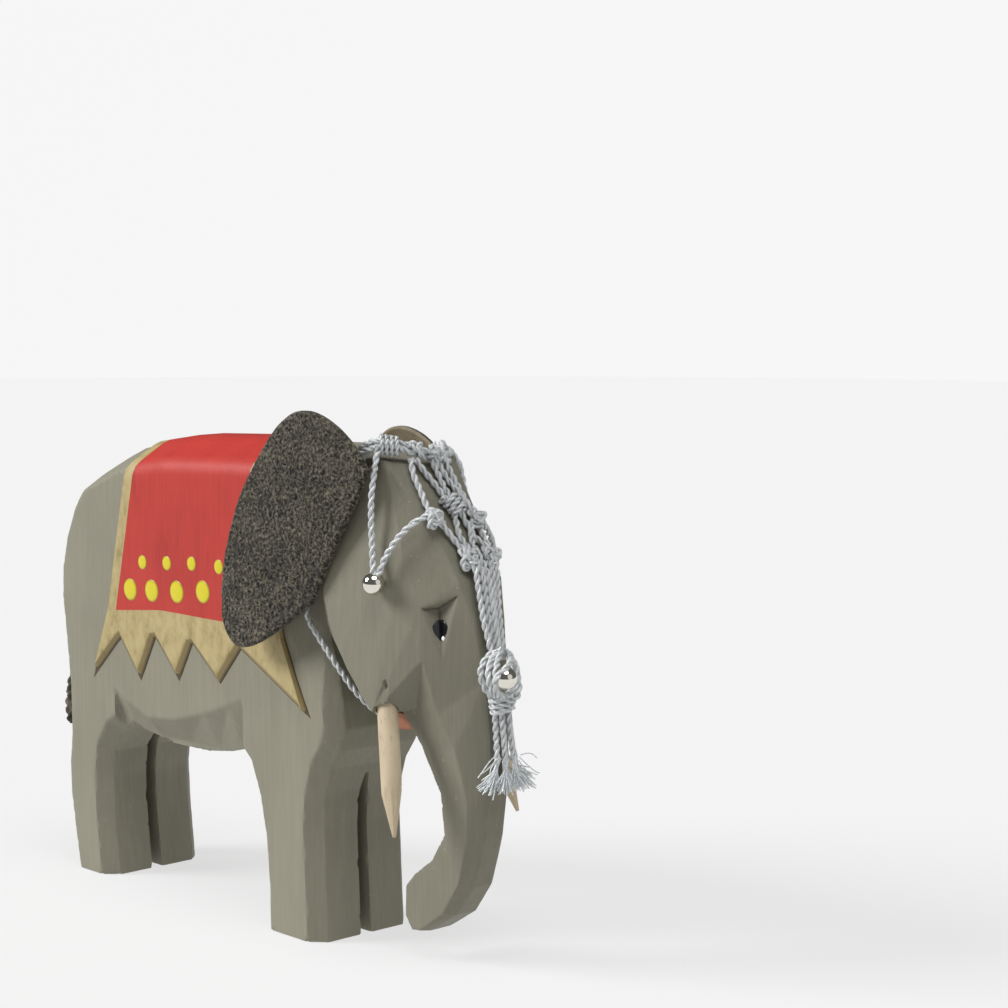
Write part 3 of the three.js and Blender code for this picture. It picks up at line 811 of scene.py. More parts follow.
@dataclass
class Studio:
    """Camera, paper floor and soft lights."""

    eye_mm: tuple[float, float, float] = (769.85, -582.76, 260.25)
    turn_degrees: float = 47.128
    dip_degrees: float = 6.59
    lens_mm: float = 92.857

    def build(self) -> None:
        """Make the camera, the floor and the lights."""
        self.camera()
        self.floor()
        self.lights()

    def camera(self) -> None:
        """Stand the camera where the figure is seen from its front right, a little from above."""
        data = bpy.data.cameras.new("camera")
        data.lens, data.sensor_width = self.lens_mm, 36.0
        data.clip_start, data.clip_end = 0.02, 50.0
        made = bpy.data.objects.new("camera", data)
        made.location = at(self.eye_mm)[0]
        made.rotation_euler = (math.radians(90 - self.dip_degrees), 0.0, math.radians(self.turn_degrees))
        bpy.context.scene.collection.objects.link(made)
        bpy.context.scene.camera = made

    def floor(self) -> None:
        """Lay a round sheet of pale paper, with a pale wall far behind it on every side."""
        turns = 72
        ring = np.linspace(0, 2 * math.pi, turns, endpoint=False)
        round_edge = np.stack([np.cos(ring), np.sin(ring), np.zeros(turns)], 1)
        sheet = Shell()
        sheet.add(round_edge * 3.0 - [0, 0, 0.0002], [list(range(turns))])
        sheet.mesh_object("paper_floor", [StudioPaper("paper_floor", 0.20, 0.66).material()])
        wall = Shell()
        low, high = round_edge * 3.0 - [0, 0, 0.0002], round_edge * 3.3 + [0, 0, 1.3]
        faces = [[j, turns + j, turns + (j + 1) % turns, (j + 1) % turns] for j in range(turns)]
        wall.add(np.vstack([low, high]), faces)
        screen = wall.mesh_object("paper_wall", [StudioPaper("paper_wall", 0.02, 0.91).material()])
        screen.visible_glossy = False
        screen.visible_diffuse = False
        screen.visible_shadow = False

    def lights(self) -> None:
        """Set a large soft key on the viewer's left, a weak fill, a top light and a dim room."""
        world = bpy.data.worlds.new("room")
        world.use_nodes = True
        world.node_tree.nodes["Background"].inputs[0].default_value = colour("#ffffff")
        world.node_tree.nodes["Background"].inputs[1].default_value = 0.12
        bpy.context.scene.world = world
        bpy.context.scene.view_settings.view_transform = "Standard"
        self.lamp("key", (-0.68, -0.75, 0.62), 26.0, 3.2)
        self.lamp("fill", (0.95, 0.15, 0.35), 50.0, 0.35)
        self.lamp("top", (0.35, -0.15, 1.0), 40.0, 1.7)

    def lamp(self, name: str, toward: tuple[float, float, float], width_degrees: float, power: float) -> None:
        """Hang one soft, distant light that shines on the figure.

        Args:
            name: its name.
            toward: the direction in which it lies.
            width_degrees: how wide it looks from the figure.
            power: what it gives on a surface square to it.
        """
        data = bpy.data.lights.new(name, "SUN")
        data.angle, data.energy = math.radians(width_degrees), power
        made = bpy.data.objects.new(name, data)
        made.rotation_euler = Vector(toward).to_track_quat("Z", "Y").to_euler()
        bpy.context.scene.collection.objects.link(made)


# ---------------------------------------------------------------- carved wood


def soften(points: np.ndarray, edges: np.ndarray, weight: np.ndarray, rounds: int) -> np.ndarray:
    """Even out a mesh by moving each point towards the middle of its neighbours.

    Args:
        points: the mesh's points.
        edges: pairs of neighbours.
        weight: for each point, how far it goes, from 0 to 1.
        rounds: how many times.

    Returns:
        The moved points.
    """
    ends = np.concatenate([edges, edges[:, ::-1]])
    share = np.bincount(ends[:, 0], minlength=len(points))
    moved = points.copy()
    for _ in range(rounds):
        middle = np.stack([np.bincount(ends[:, 0], moved[ends[:, 1], k], len(points)) for k in range(3)], 1)
        moved += weight[:, None] * (middle / share[:, None] - moved)
    return moved


@dataclass
class CarvedBlock:
    """A block of wood as the knife leaves it: flat facets with slightly worn edges."""

    node: str
    voxel_mm: float
    rounds: int = 6
    waviness_mm: float = 0.08  # how far the flats stray from true
    least_ridge: float = 15.0  # the least angle between facets that counts as an edge, in degrees
    crisp_above: float = 38.0  # the angle above which an edge stays crisp, in degrees
    facet_reach: float = 1.2  # how far a point may be from its facet, in voxels
    ridge_reach: float = 0.52  # how far a point may be from an edge to be moved onto it, in voxels
    ridge_step_mm: float = 0.15  # distance between the points along an edge
    plain_wear: float = 0.6  # how far a point on a flat gives way, from 0 to 1
    ridge_wear: float = 0.3  # the share of that for a point on an edge

    def fix(self, points: np.ndarray) -> np.ndarray:
        """Change points, in millimetres, before the edges are worn; nothing here.

        Args:
            points: rows of x, y, z in millimetres.

        Returns:
            The changed rows.
        """
        return points

    def left_standing(self) -> list[np.ndarray]:
        """Give the corners of small lumps that the knife leaves on the block; none here."""
        return []

    def creases(self) -> list[tuple[np.ndarray, np.ndarray, float]]:
        """Give lines along which shade is painted into the wood, each as two ends and a width; none here."""
        return []

    def weight(self, points: np.ndarray) -> np.ndarray:
        """Give how far each point, in millimetres, is worn, from 0 to 1.

        Args:
            points: rows of x, y, z in millimetres.

        Returns:
            One number for each point.
        """
        return np.full(len(points), self.plain_wear)

    def build(self, material: bpy.types.Material) -> bpy.types.Object:
        """Make the finished block.

        Args:
            material: its finish.

        Returns:
            The piece, standing for its CAD node.
        """
        shape = bmesh.new()
        shape.from_mesh(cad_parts[self.node].data)
        bmesh.ops.remove_doubles(shape, verts=shape.verts, dist=0.00002)
        for corners in self.left_standing():
            lump = bmesh.new()
            points = [lump.verts.new(p) for p in at(corners)]
            bmesh.ops.convex_hull(lump, input=points)
            scrap = bpy.data.meshes.new("lump")
            lump.to_mesh(scrap)
            lump.free()
            shape.from_mesh(scrap)
            bpy.data.meshes.remove(scrap)
        planed, ridges = BVHTree.FromBMesh(shape), self.ridges(shape)
        mesh = bpy.data.meshes.new(self.node + "_rough")
        shape.to_mesh(mesh)
        shape.free()
        rough = bpy.data.objects.new(self.node + "_rough", mesh)
        bpy.context.scene.collection.objects.link(rough)
        remesh = rough.modifiers.new("even", "REMESH")
        remesh.mode, remesh.voxel_size = "VOXEL", self.voxel_mm * MM
        bpy.context.view_layer.update()
        graph = bpy.context.evaluated_depsgraph_get()
        fine = bpy.data.meshes.new_from_object(rough.evaluated_get(graph), depsgraph=graph)
        bpy.data.objects.remove(rough)
        held = self.sharpen(fine, planed, ridges)
        self.wear(fine, held)
        self.mark_ridges(fine, held)
        fine.name = self.node + "_carved"
        fine.materials.clear()
        fine.materials.append(material)
        made = bpy.data.objects.new(self.node + "_carved", fine)
        bpy.context.scene.collection.objects.link(made)
        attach(made, "root")
        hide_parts(self.node)
        return made

    def ridges(self, shape: bmesh.types.BMesh) -> KDTree:
        """Gather points along the edges between the block's facets, for a quick search.

        Args:
            shape: the block's facets.

        Returns:
            The points, ready to be searched.
        """
        spots: list[Vector] = []
        for edge in shape.edges:
            if len(edge.link_faces) == 2 and edge.calc_face_angle(0.0) > math.radians(self.least_ridge):
                a, b = (v.co for v in edge.verts)
                pieces = max(1, int((b - a).length / (self.ridge_step_mm * MM)))
                spots += [a.lerp(b, k / pieces) for k in range(pieces + 1)]
        tree = KDTree(len(spots))
        for index, spot in enumerate(spots):
            tree.insert(spot, index)
        tree.balance()
        return tree

    def sharpen(self, mesh: bpy.types.Mesh, planed: BVHTree, ridges: KDTree) -> np.ndarray:
        """Bring an even mesh back onto the planed facets and their edges, which the remesh has blunted.

        Args:
            mesh: the even mesh.
            planed: the block's facets.
            ridges: points along the edges between them.

        Returns:
            For each point, whether it stands on an edge.
        """
        held = np.zeros(len(mesh.vertices), bool)
        for index, vertex in enumerate(mesh.vertices):
            spot, _, _, _ = planed.find_nearest(vertex.co, self.facet_reach * self.voxel_mm * MM)
            if spot is not None:
                vertex.co = spot
            ridge, _, gap = ridges.find(vertex.co)
            if gap < self.ridge_reach * self.voxel_mm * MM:
                vertex.co = ridge
                held[index] = True
        return held

    def mark_ridges(self, mesh: bpy.types.Mesh, held: np.ndarray) -> None:
        """Keep the steeper edges between facets crisp.

        Args:
            mesh: the worn mesh.
            held: the points on edges.
        """
        shape = bmesh.new()
        shape.from_mesh(mesh)
        shape.verts.ensure_lookup_table()
        for edge in shape.edges:
            if held[edge.verts[0].index] and held[edge.verts[1].index]:
                edge.smooth = edge.calc_face_angle(0.0) < math.radians(self.crisp_above)
        shape.to_mesh(mesh)
        shape.free()

    def wear(self, mesh: bpy.types.Mesh, held: np.ndarray) -> None:
        """Round the edges of an even mesh a little and let its flats stray.

        Args:
            mesh: the even mesh.
            held: the points on edges, which wear least.
        """
        count = len(mesh.vertices)
        points = np.empty(count * 3)
        mesh.vertices.foreach_get("co", points)
        points = points.reshape(-1, 3) / MM + [ORIGIN_X, 0, 0]
        edges = np.empty(len(mesh.edges) * 2, np.int64)
        mesh.edges.foreach_get("vertices", edges)
        points = self.fix(points)
        worn = self.weight(points) * np.where(held, self.ridge_wear, 1.0)
        points = soften(points, edges.reshape(-1, 2), worn, self.rounds)
        mesh.vertices.foreach_set("co", ((points - [ORIGIN_X, 0, 0]) * MM).ravel())
        mesh.update()
        normals = np.empty(count * 3, np.float32)
        mesh.vertices.foreach_get("normal", normals)
        stray = np.array([noise.noise(Vector(p) / 9.0) + 0.5 * noise.noise(Vector(p) / 3.7) for p in points])
        points += normals.reshape(-1, 3) * (self.waviness_mm * stray)[:, None]
        points[:, 2] = np.maximum(points[:, 2], 0.0)
        mesh.vertices.foreach_set("co", ((points - [ORIGIN_X, 0, 0]) * MM).ravel())
        mesh.polygons.foreach_set("use_smooth", [True] * len(mesh.polygons))
        mesh.update()
        # painted shade: how dark each point is painted along the creases
        crease_shade = np.zeros(count)
        for a, b, width in self.creases():
            share = np.clip(((points - a) @ (b - a)) / ((b - a) @ (b - a)), 0, 1)
            gap = np.linalg.norm(points - a - share[:, None] * (b - a), axis=1)
            crease_shade = np.maximum(crease_shade, np.clip(1.3 - gap / width, 0, 1))
        mesh.attributes.new("crease", "FLOAT", "POINT").data.foreach_set("value", crease_shade.astype(np.float32))


# The crown of the back, as x and height, and how the planed facet leaves it.
BACK_CROWN = ((-120, 138), (-90, 148), (-74.4, 157.6), (-50, 167.6), (-20, 172.4), (24, 174.8), (90, 176.6))
HALF_WIDTH = 22.5
CROWN_HALF = 8.0
FACET_DROP = 8.4


def crown(x: np.ndarray | float) -> np.ndarray | float:
    """Give the height of the back's crown at x, in millimetres.

    Args:
        x: places along the back, in millimetres.

    Returns:
        The heights, in millimetres.
    """
    return np.interp(x, [p[0] for p in BACK_CROWN], [p[1] for p in BACK_CROWN])


@dataclass
class BodyBlock(CarvedBlock):
    """Torso and legs. The raised cloth is planed off here and laid on again as its own painted piece."""

    node: str = "body_block"
    voxel_mm: float = 0.98
    rounds: int = 1

    def fix(self, points: np.ndarray) -> np.ndarray:
        """Plane the cloth's relief down to the flats round it.

        Args:
            points: rows of x, y, z in millimetres.

        Returns:
            The changed rows.
        """
        points = points.copy()
        points[:, 1] = np.clip(points[:, 1], -HALF_WIDTH, HALF_WIDTH)
        slope = FACET_DROP / (HALF_WIDTH - CROWN_HALF)
        top = crown(points[:, 0]) - np.maximum(np.abs(points[:, 1]) - CROWN_HALF, 0) * slope
        points[:, 2] = np.minimum(points[:, 2], top)
        return points


@dataclass
class HeadBlock(CarvedBlock):
    """Skull, cheeks, jaw and trunk. The eye hollows and the mouth corners keep sharper edges."""

    node: str = "head_block"
    voxel_mm: float = 0.62
    rounds: int = 2
    eye_mm: tuple[float, float, float] = (124.5, 14.0, 122.5)
    mouth_mm: tuple[float, float, float] = (107.0, 18.0, 96.0)
    hollow: tuple[tuple[float, float, float], ...] = (
        (119.9, 17.7, 125.4), (130.4, 9.8, 130.4), (125.5, 13.3, 112.0),
    )
    deepest: tuple[float, float, float] = (123.4, 12.9, 125.2)
    out: tuple[float, float] = (0.6045, 0.7966)  # the way the eye hollows face, forward and sideways
    deeper_mm: float = 2.0  # how far the knife went in beyond the plain cut
    socket_lump: tuple[tuple[float, float, float], ...] = (
        (106.9, 23.2, 101.4), (106.2, 16.0, 100.8), (109.6, 23.4, 92.8), (109.4, 15.0, 92.8),
        (104.6, 25.5, 91.0), (104.0, 14.0, 90.0), (101.0, 25.0, 96.0), (101.0, 14.0, 96.0),
    )

    def left_standing(self) -> list[np.ndarray]:
        """Give the wood that holds each tusk, in front of its socket."""
        return [np.array(self.socket_lump) * [1, side.value, 1] for side in Side]

    def creases(self) -> list[tuple[np.ndarray, np.ndarray, float]]:
        """Give the creases of the eye hollows, along which shade is painted."""
        lines = []
        for side in Side:
            flip = np.array([1.0, side.value, 1.0])
            out = np.array([*self.out, 0.0])
            low = np.array(self.deepest) - out * self.deeper_mm
            left, right = (np.array(p) for p in self.hollow[:2])
            foot = low + [0.5, -0.2, -4.2] + out * 0.9
            lines += [
                (low * flip, (low + 0.85 * (left - low)) * flip, 0.55),
                (low * flip, (low + 0.9 * (right - low)) * flip, 0.5),
            ]
            lines += [(low * flip, foot * flip, 0.5)]
        return lines

    def fix(self, points: np.ndarray) -> np.ndarray:
        """Deepen the eye hollows to a point.

        Args:
            points: rows of x, y, z in millimetres.

        Returns:
            The changed rows.
        """
        points = points.copy()
        across = np.array([-self.out[1], self.out[0]])
        corners = np.array([[c[0] * across[0] + c[1] * across[1], c[2]] for c in self.hollow])
        low = np.array([self.deepest[0] * across[0] + self.deepest[1] * across[1], self.deepest[2]])
        flat = np.stack([points[:, 0] * across[0] + np.abs(points[:, 1]) * across[1], points[:, 2]], 1)
        near = (points[:, 0] > 114) & (np.abs(points[:, 1]) > 6)
        share = np.zeros(len(points))
        for k in range(3):
            a, b = corners[k] - low, corners[(k + 1) % 3] - low
            d = flat - low
            area = a[0] * b[1] - a[1] * b[0]
            u = (d[:, 0] * b[1] - d[:, 1] * b[0]) / area
            v = (a[0] * d[:, 1] - a[1] * d[:, 0]) / area
            here = (u >= 0) & (v >= 0) & (u + v <= 1)
            share = np.where(here & near, 1 - u - v, share)
        forward, sideways = self.out
        inward = np.stack([
            np.full(len(points), -forward), -sideways * np.sign(points[:, 1]), np.zeros(len(points)),
        ], 1)
        return points + inward * (self.deeper_mm * share)[:, None]

    def weight(self, points: np.ndarray) -> np.ndarray:
        """Wear the eye hollows and the mouth corners less than the rest.

        Args:
            points: rows of x, y, z in millimetres.

        Returns:
            One number for each point, from 0 to 1.
        """
        folded = points * [1, 0, 1] + np.abs(points) * [0, 1, 0]
        eye = np.linalg.norm((folded - self.eye_mm) * [1, 1, 0.75], axis=1)
        mouth = np.linalg.norm(folded - self.mouth_mm, axis=1)
        return self.plain_wear * np.clip(np.minimum((eye - 7) / 6, (mouth - 8) / 6), 0.16, 1.0)


# ---------------------------------------------------------------- flat outlines


def cut_line(outline: np.ndarray, insets: np.ndarray) -> np.ndarray:
    """Draw a line inside a closed outline, a distance in from each of its edges.

    Args:
        outline: corners in order, anticlockwise.
        insets: for each edge from a corner to the next, the distance in.

    Returns:
        One inner corner for each outer corner.
    """
    following = np.roll(outline, -1, axis=0)
    along = following - outline
    along /= np.linalg.norm(along, axis=1)[:, None]
    inward = np.stack([-along[:, 1], along[:, 0]], 1)
    base = outline + inward * insets[:, None]
    inner = np.empty_like(outline)
    for i in range(len(outline)):
        a, b = base[i - 1], base[i]
        d, e = along[i - 1], along[i]
        cross = d[0] * e[1] - d[1] * e[0]
        if abs(cross) < 0.05:
            inner[i] = b
        else:
            gap = b - a
            inner[i] = a + d * ((gap[0] * e[1] - gap[1] * e[0]) / cross)
    return inner


def inside(points: np.ndarray, outline: np.ndarray) -> np.ndarray:
    """Tell which points lie inside a closed outline.

    Args:
        points: rows of two coordinates.
        outline: its corners in order.

    Returns:
        True for each point inside.
    """
    hit = np.zeros(len(points), bool)
    for a, b in zip(outline, np.roll(outline, -1, axis=0)):
        spans = (a[1] > points[:, 1]) != (b[1] > points[:, 1])
        with np.errstate(divide="ignore", invalid="ignore"):
            where = (b[0] - a[0]) * (points[:, 1] - a[1]) / (b[1] - a[1]) + a[0]
        hit ^= spans & (points[:, 0] < where)
    return hit


def gap_to(points: np.ndarray, outline: np.ndarray) -> np.ndarray:
    """Give each point's distance to a closed outline.

    Args:
        points: rows of two coordinates.
        outline: its corners in order.

    Returns:
        One distance for each point.
    """
    best = np.full(len(points), 1e9)
    for a, b in zip(outline, np.roll(outline, -1, axis=0)):
        d = b - a
        t = np.clip(((points - a) @ d) / max(d @ d, 1e-12), 0, 1)
        best = np.minimum(best, np.linalg.norm(points - a - t[:, None] * d, axis=1))
    return best


def divided(outline: np.ndarray, step: float) -> tuple[np.ndarray, np.ndarray]:
    """Divide a closed outline's edges into short lengths.

    Args:
        outline: its corners.
        step: the longest length wanted.

    Returns:
        The points, and for each the number of the edge that it starts on.
    """
    points, edge = [], []
    for i, (a, b) in enumerate(zip(outline, np.roll(outline, -1, axis=0))):
        pieces = max(1, math.ceil(np.linalg.norm(b - a) / step))
        for k in range(pieces):
            points.append(a + (b - a) * k / pieces)
            edge.append(i)
    return np.array(points), np.array(edge)


def triangulated(
    rings: Sequence[np.ndarray], spacing: float, keep_off: float,
) -> tuple[np.ndarray, list[list[int]]]:
    """Fill an outline with triangles that follow every ring.

    Args:
        rings: closed rings of points; the first is the outline, the others lie inside it.
        spacing: the distance between the points of the filling.
        keep_off: how far the filling stays from every ring.

    Returns:
        All points in the plane, and triangles that run anticlockwise.
    """
    outline, bounds = rings[0], rings[1] if len(rings) > 1 else rings[0]
    low, high = outline.min(0), outline.max(0)
    xs, ys = np.arange(low[0], high[0], spacing), np.arange(low[1], high[1], spacing)
    grid = np.stack(np.meshgrid(xs, ys), -1)
    grid[1::2, :, 0] += spacing / 2
    grid = grid.reshape(-1, 2)
    grid = grid[inside(grid, bounds)]
    for ring in rings:
        grid = grid[gap_to(grid, ring) > keep_off]
    points, edges, start = [*grid], [], len(grid)
    for ring in rings:
        points += [*ring]
        edges += [(start + i, start + (i + 1) % len(ring)) for i in range(len(ring))]
        start += len(ring)
    made = delaunay_2d_cdt([Vector(p) for p in points], edges, [], 0, 1e-6)
    flat = np.array([v[:] for v in made[0]])
    corners = np.array(made[2])
    middle = flat[corners].mean(1)
    corners = corners[inside(middle, outline)]
    a, b, c = (flat[corners[:, k]] for k in range(3))
    area = (b - a)[:, 0] * (c - a)[:, 1] - (b - a)[:, 1] * (c - a)[:, 0]
    corners[area < 0] = corners[area < 0][:, ::-1]
    return flat, corners[np.abs(area) > 1e-9].tolist()


def rim_edges(triangles: Sequence[Sequence[int]]) -> list[tuple[int, int]]:
    """Find the edges with a triangle on one side only, each in its triangle's own direction.

    Args:
        triangles: corner numbers, three for each triangle.

    Returns:
        Pairs of corner numbers.
    """
    seen: dict[tuple[int, int], int] = {}
    for t in triangles:
        for a, b in ((t[0], t[1]), (t[1], t[2]), (t[2], t[0])):
            seen[(a, b)] = seen.get((a, b), 0) + 1
    return [e for e in seen if (e[1], e[0]) not in seen]


# ---------------------------------------------------------------- the saddle cloth


@dataclass
class SaddleCloth:
    """The cloth that stands in relief over the back, painted red and gold, with pointed tabs.

    It is laid out flat first: x along the body, and s round it from the right flank over the back
    to the left flank, with s at 0 where the right flank meets the planed facet.
    """

    relief: float = 1.75
    edge_height: float = 0.12
    root_depth: float = 1.2  # how far its underside sinks into the wood
    tab_bevel: float = 2.7
    side_bevel: float = 0.9
    front_bevel: float = 1.6  # the bevel of one edge at each front corner
    border: float = 6.6  # width of the gold along the front and rear edges
    tabs: tuple[tuple[float, float], ...] = (
        (-67.5, 77.8), (-48.5, 95.2), (-35.7, 80.7), (-25.8, 98.2), (-11.1, 83.8), (-2.3, 98.9), (14.4, 86.2),
        (27.1, 100.5), (66.7, 81),
    )
    front: tuple[tuple[float, float], ...] = ((59.7, 93.7), (52.7, 108.3), (47, 130.7), (42, 163.2))
    rear: tuple[tuple[float, float], ...] = ((-55.5, 106.3), (-49.9, 130.7), (-42.4, 163.2))
    red_foot: tuple[tuple[float, float], ...] = ((-49.4, 106.3), (17.6, 109.8), (46.0, 111.2))
    round_over: float = 2.6  # half the width over which the back's edges are rounded

    def __post_init__(self) -> None:
        """Work out the lengths round the body's section."""
        self.facet = math.hypot(HALF_WIDTH - CROWN_HALF, FACET_DROP)
        self.over = 2 * self.facet + 2 * CROWN_HALF

    def laid_flat(self, pairs: Sequence[tuple[float, float]], side: Side) -> np.ndarray:
        """Turn x and height on one flank into x and s on the flat cloth.

        Args:
            pairs: rows of x and height, in millimetres.
            side: the flank.

        Returns:
            Rows of x and s.
        """
        p = np.asarray(pairs, float)
        s = p[:, 1] - (crown(p[:, 0]) - FACET_DROP)
        return np.stack([p[:, 0], s if side is Side.RIGHT else self.over - s], 1)

    def section(self, x: np.ndarray, s: np.ndarray) -> np.ndarray:
        """Give the body's surface at x and s, with sharp edges, as y and z.

        Args:
            x: places along the body.
            s: places round it.

        Returns:
            Rows of y and z.
        """
        top = crown(x)
        corner_s = np.array([-200.0, 0.0, self.facet, self.over - self.facet, self.over, self.over + 200.0])
        corner_y = np.array([-HALF_WIDTH, -HALF_WIDTH, -CROWN_HALF, CROWN_HALF, HALF_WIDTH, HALF_WIDTH])
        corner_z = np.array([-200.0 - FACET_DROP, -FACET_DROP, 0.0, 0.0, -FACET_DROP, -FACET_DROP - 200.0])
        return np.stack([np.interp(s, corner_s, corner_y), top + np.interp(s, corner_s, corner_z)], 1)

    def wrapped(self, flat: np.ndarray, height: np.ndarray) -> np.ndarray:
        """Wrap flat points round the body.

        Args:
            flat: rows of x and s.
            height: how far each point stands out from the wood.

        Returns:
            Points in millimetres.
        """
        offsets = np.linspace(-self.round_over, self.round_over, 9)
        samples = np.stack([self.section(flat[:, 0], flat[:, 1] + o) for o in offsets])
        middle = samples.mean(0)
        along = samples[-1] - samples[0]
        along /= np.linalg.norm(along, axis=1)[:, None]
        outward = np.stack([-along[:, 1], along[:, 0]], 1)
        place = middle + outward * height[:, None]
        return np.stack([flat[:, 0], place[:, 0], place[:, 1]], 1)

    def outline(self) -> tuple[np.ndarray, np.ndarray]:
        """Draw the cloth's outline on the flat, and how far each edge's bevel reaches in."""
        right_front, left_front = (self.laid_flat(self.front, s) for s in (Side.RIGHT, Side.LEFT))
        right_rear, left_rear = (self.laid_flat(self.rear, s) for s in (Side.RIGHT, Side.LEFT))
        right_tabs, left_tabs = (self.laid_flat(self.tabs, s) for s in (Side.RIGHT, Side.LEFT))
        runs = [right_tabs, right_front, left_front[::-1], left_tabs[::-1], left_rear, right_rear[::-1]]
        corners = np.vstack(runs)
        insets = np.full(len(corners), self.side_bevel)
        insets[: len(right_tabs) - 1] = self.tab_bevel
        left_start = len(right_tabs) + len(right_front) + len(left_front)
        insets[left_start : left_start + len(left_tabs) - 1] = self.tab_bevel
        insets[[len(right_tabs) - 1, left_start - 1]] = self.front_bevel
        return corners, insets

    def red_field(self) -> np.ndarray:
        """Draw the red field on the flat."""
        shift = np.array([self.border, 0.0])
        right_front, left_front = (self.laid_flat(self.front[2:], s) - shift for s in (Side.RIGHT, Side.LEFT))
        right_rear, left_rear = (self.laid_flat(self.rear[1:], s) + shift for s in (Side.RIGHT, Side.LEFT))
        right_foot, left_foot = (self.laid_flat(self.red_foot, s) for s in (Side.RIGHT, Side.LEFT))
        return np.vstack([
            right_foot, right_front, left_front[::-1], left_foot[::-1], left_rear, right_rear[::-1],
        ])

    def build(self, gold: bpy.types.Material, red: bpy.types.Material) -> bpy.types.Object:
        """Make the closed, painted cloth.

        Args:
            gold: the paint of border and tabs.
            red: the paint of the field.

        Returns:
            The piece.
        """
        corners, insets = self.outline()
        inner = cut_line(corners, insets)
        ring, _ = divided(corners, 3.0)
        ridge, _ = divided(inner, 3.0)
        field_ring, _ = divided(self.red_field(), 2.5)
        flat, triangles = triangulated([ring, ridge, field_ring], 2.6, 1.1)
        on_edge = gap_to(flat, corners) < 1e-3
        within = inside(flat, inner) | (gap_to(flat, inner) < 1e-3)
        height = np.where(on_edge, self.edge_height, self.relief)
        top = at(self.wrapped(flat, height))
        under = at(self.wrapped(flat, np.full(len(flat), -self.root_depth)))
        middle = flat[np.array(triangles)].mean(1)
        is_red = inside(middle, self.red_field())
        count = len(flat)
        shell = Shell()
        faces = [list(t) for t in triangles] + [[count + i for i in reversed(t)] for t in triangles]
        faces += [[b, a, count + a, count + b] for a, b in rim_edges(triangles)]
        shell.add(np.vstack([top, under]), faces)
        slots = [1 if r else 0 for r in is_red]
        shell.slots = slots + [0] * (len(faces) - len(slots))
        made = shell.mesh_object("saddle_cloth", [gold, red], smooth=False)
        rim = made.data.attributes.new("rim", "FLOAT", "POINT")
        values = np.where(on_edge, 1.0, np.where(within, 0.0, 0.5))
        rim.data.foreach_set("value", np.concatenate([values, np.ones(count)]).astype(np.float32))
        self.shade_flats(made, len(triangles), middle, corners)
        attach(made, "root")
        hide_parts("body_block")
        return made

    def shade_flats(
        self, made: bpy.types.Object, count: int, middle: np.ndarray, corners: np.ndarray,
    ) -> None:
        """Shade the cloth's field smooth and leave its cut bevels crisp.

        Args:
            made: the cloth.
            count: how many faces lie on its outside.
            middle: the middle of each of those, on the flat.
            corners: the cloth's outline.
        """
        smooth = np.zeros(len(made.data.polygons), bool)
        smooth[:count] = gap_to(middle, corners) > self.tab_bevel
        made.data.polygons.foreach_set("use_smooth", smooth)
        made.data.update()


class DotTree(Wiring):
    """A node tree that sets a flat dome of paint on every point of a mesh, square to its surface."""

    def __init__(self, material: bpy.types.Material) -> None:
        """Write the tree.

        Args:
            material: the paint.
        """
        super().__init__(bpy.data.node_groups.new("paint_dots", "GeometryNodeTree"))
        face = self.tree.interface
        face.new_socket("Geometry", in_out="INPUT", socket_type="NodeSocketGeometry")
        self.rise = face.new_socket("Rise", in_out="INPUT", socket_type="NodeSocketFloat")
        face.new_socket("Geometry", in_out="OUTPUT", socket_type="NodeSocketGeometry")
        entry, leave = self.node("NodeGroupInput"), self.node("NodeGroupOutput")
        size = self.node("GeometryNodeInputNamedAttribute", data_type="FLOAT", inputs={"Name": "radius"})
        facing = self.node(
            "GeometryNodeInputNamedAttribute", data_type="FLOAT_VECTOR", inputs={"Name": "facing"},
        )
        dome = self.node("GeometryNodeMeshUVSphere", inputs={"Segments": 28, "Rings": 14, "Radius": 1.0})
        turn = self.node(
            "FunctionNodeAlignEulerToVector", axis="Z", inputs={"Vector": facing.outputs["Attribute"]},
        )
        scale = self.node(
            "ShaderNodeCombineXYZ",
            inputs={0: size.outputs["Attribute"], 1: size.outputs["Attribute"], 2: entry.outputs["Rise"]},
        )
        put = self.node("GeometryNodeInstanceOnPoints", inputs={
            "Points": entry.outputs["Geometry"], "Instance": dome.outputs["Mesh"],
            "Rotation": turn.outputs[0], "Scale": scale.outputs[0],
        })
        real = self.node("GeometryNodeRealizeInstances", inputs={0: put.outputs[0]})
        dressed = self.node(
            "GeometryNodeSetMaterial", inputs={"Geometry": real.outputs[0], "Material": material},
        )
        self.tree.links.new(dressed.outputs[0], leave.inputs[0])


def grown(
    points: bpy.types.Object, group: bpy.types.NodeTree, values: dict[str, Any], name: str,
) -> bpy.types.Object:
    """Run a node tree on an object and keep the result as a plain mesh.

    Args:
        points: the object that feeds the tree; it is removed.
        group: the tree.
        values: the tree's inputs, by the sockets' identifiers.
        name: the new piece's name.

    Returns:
        The plain mesh object.
    """
    modifier = points.modifiers.new("grow", "NODES")
    modifier.node_group = group
    for identifier, value in values.items():
        modifier[identifier] = value
    bpy.context.view_layer.update()
    graph = bpy.context.evaluated_depsgraph_get()
    mesh = bpy.data.meshes.new_from_object(points.evaluated_get(graph), depsgraph=graph)
    mesh.name = name
    mesh.polygons.foreach_set("use_smooth", [True] * len(mesh.polygons))
    bpy.data.objects.remove(points)
    made = bpy.data.objects.new(name, mesh)
    bpy.context.scene.collection.objects.link(made)
    return made


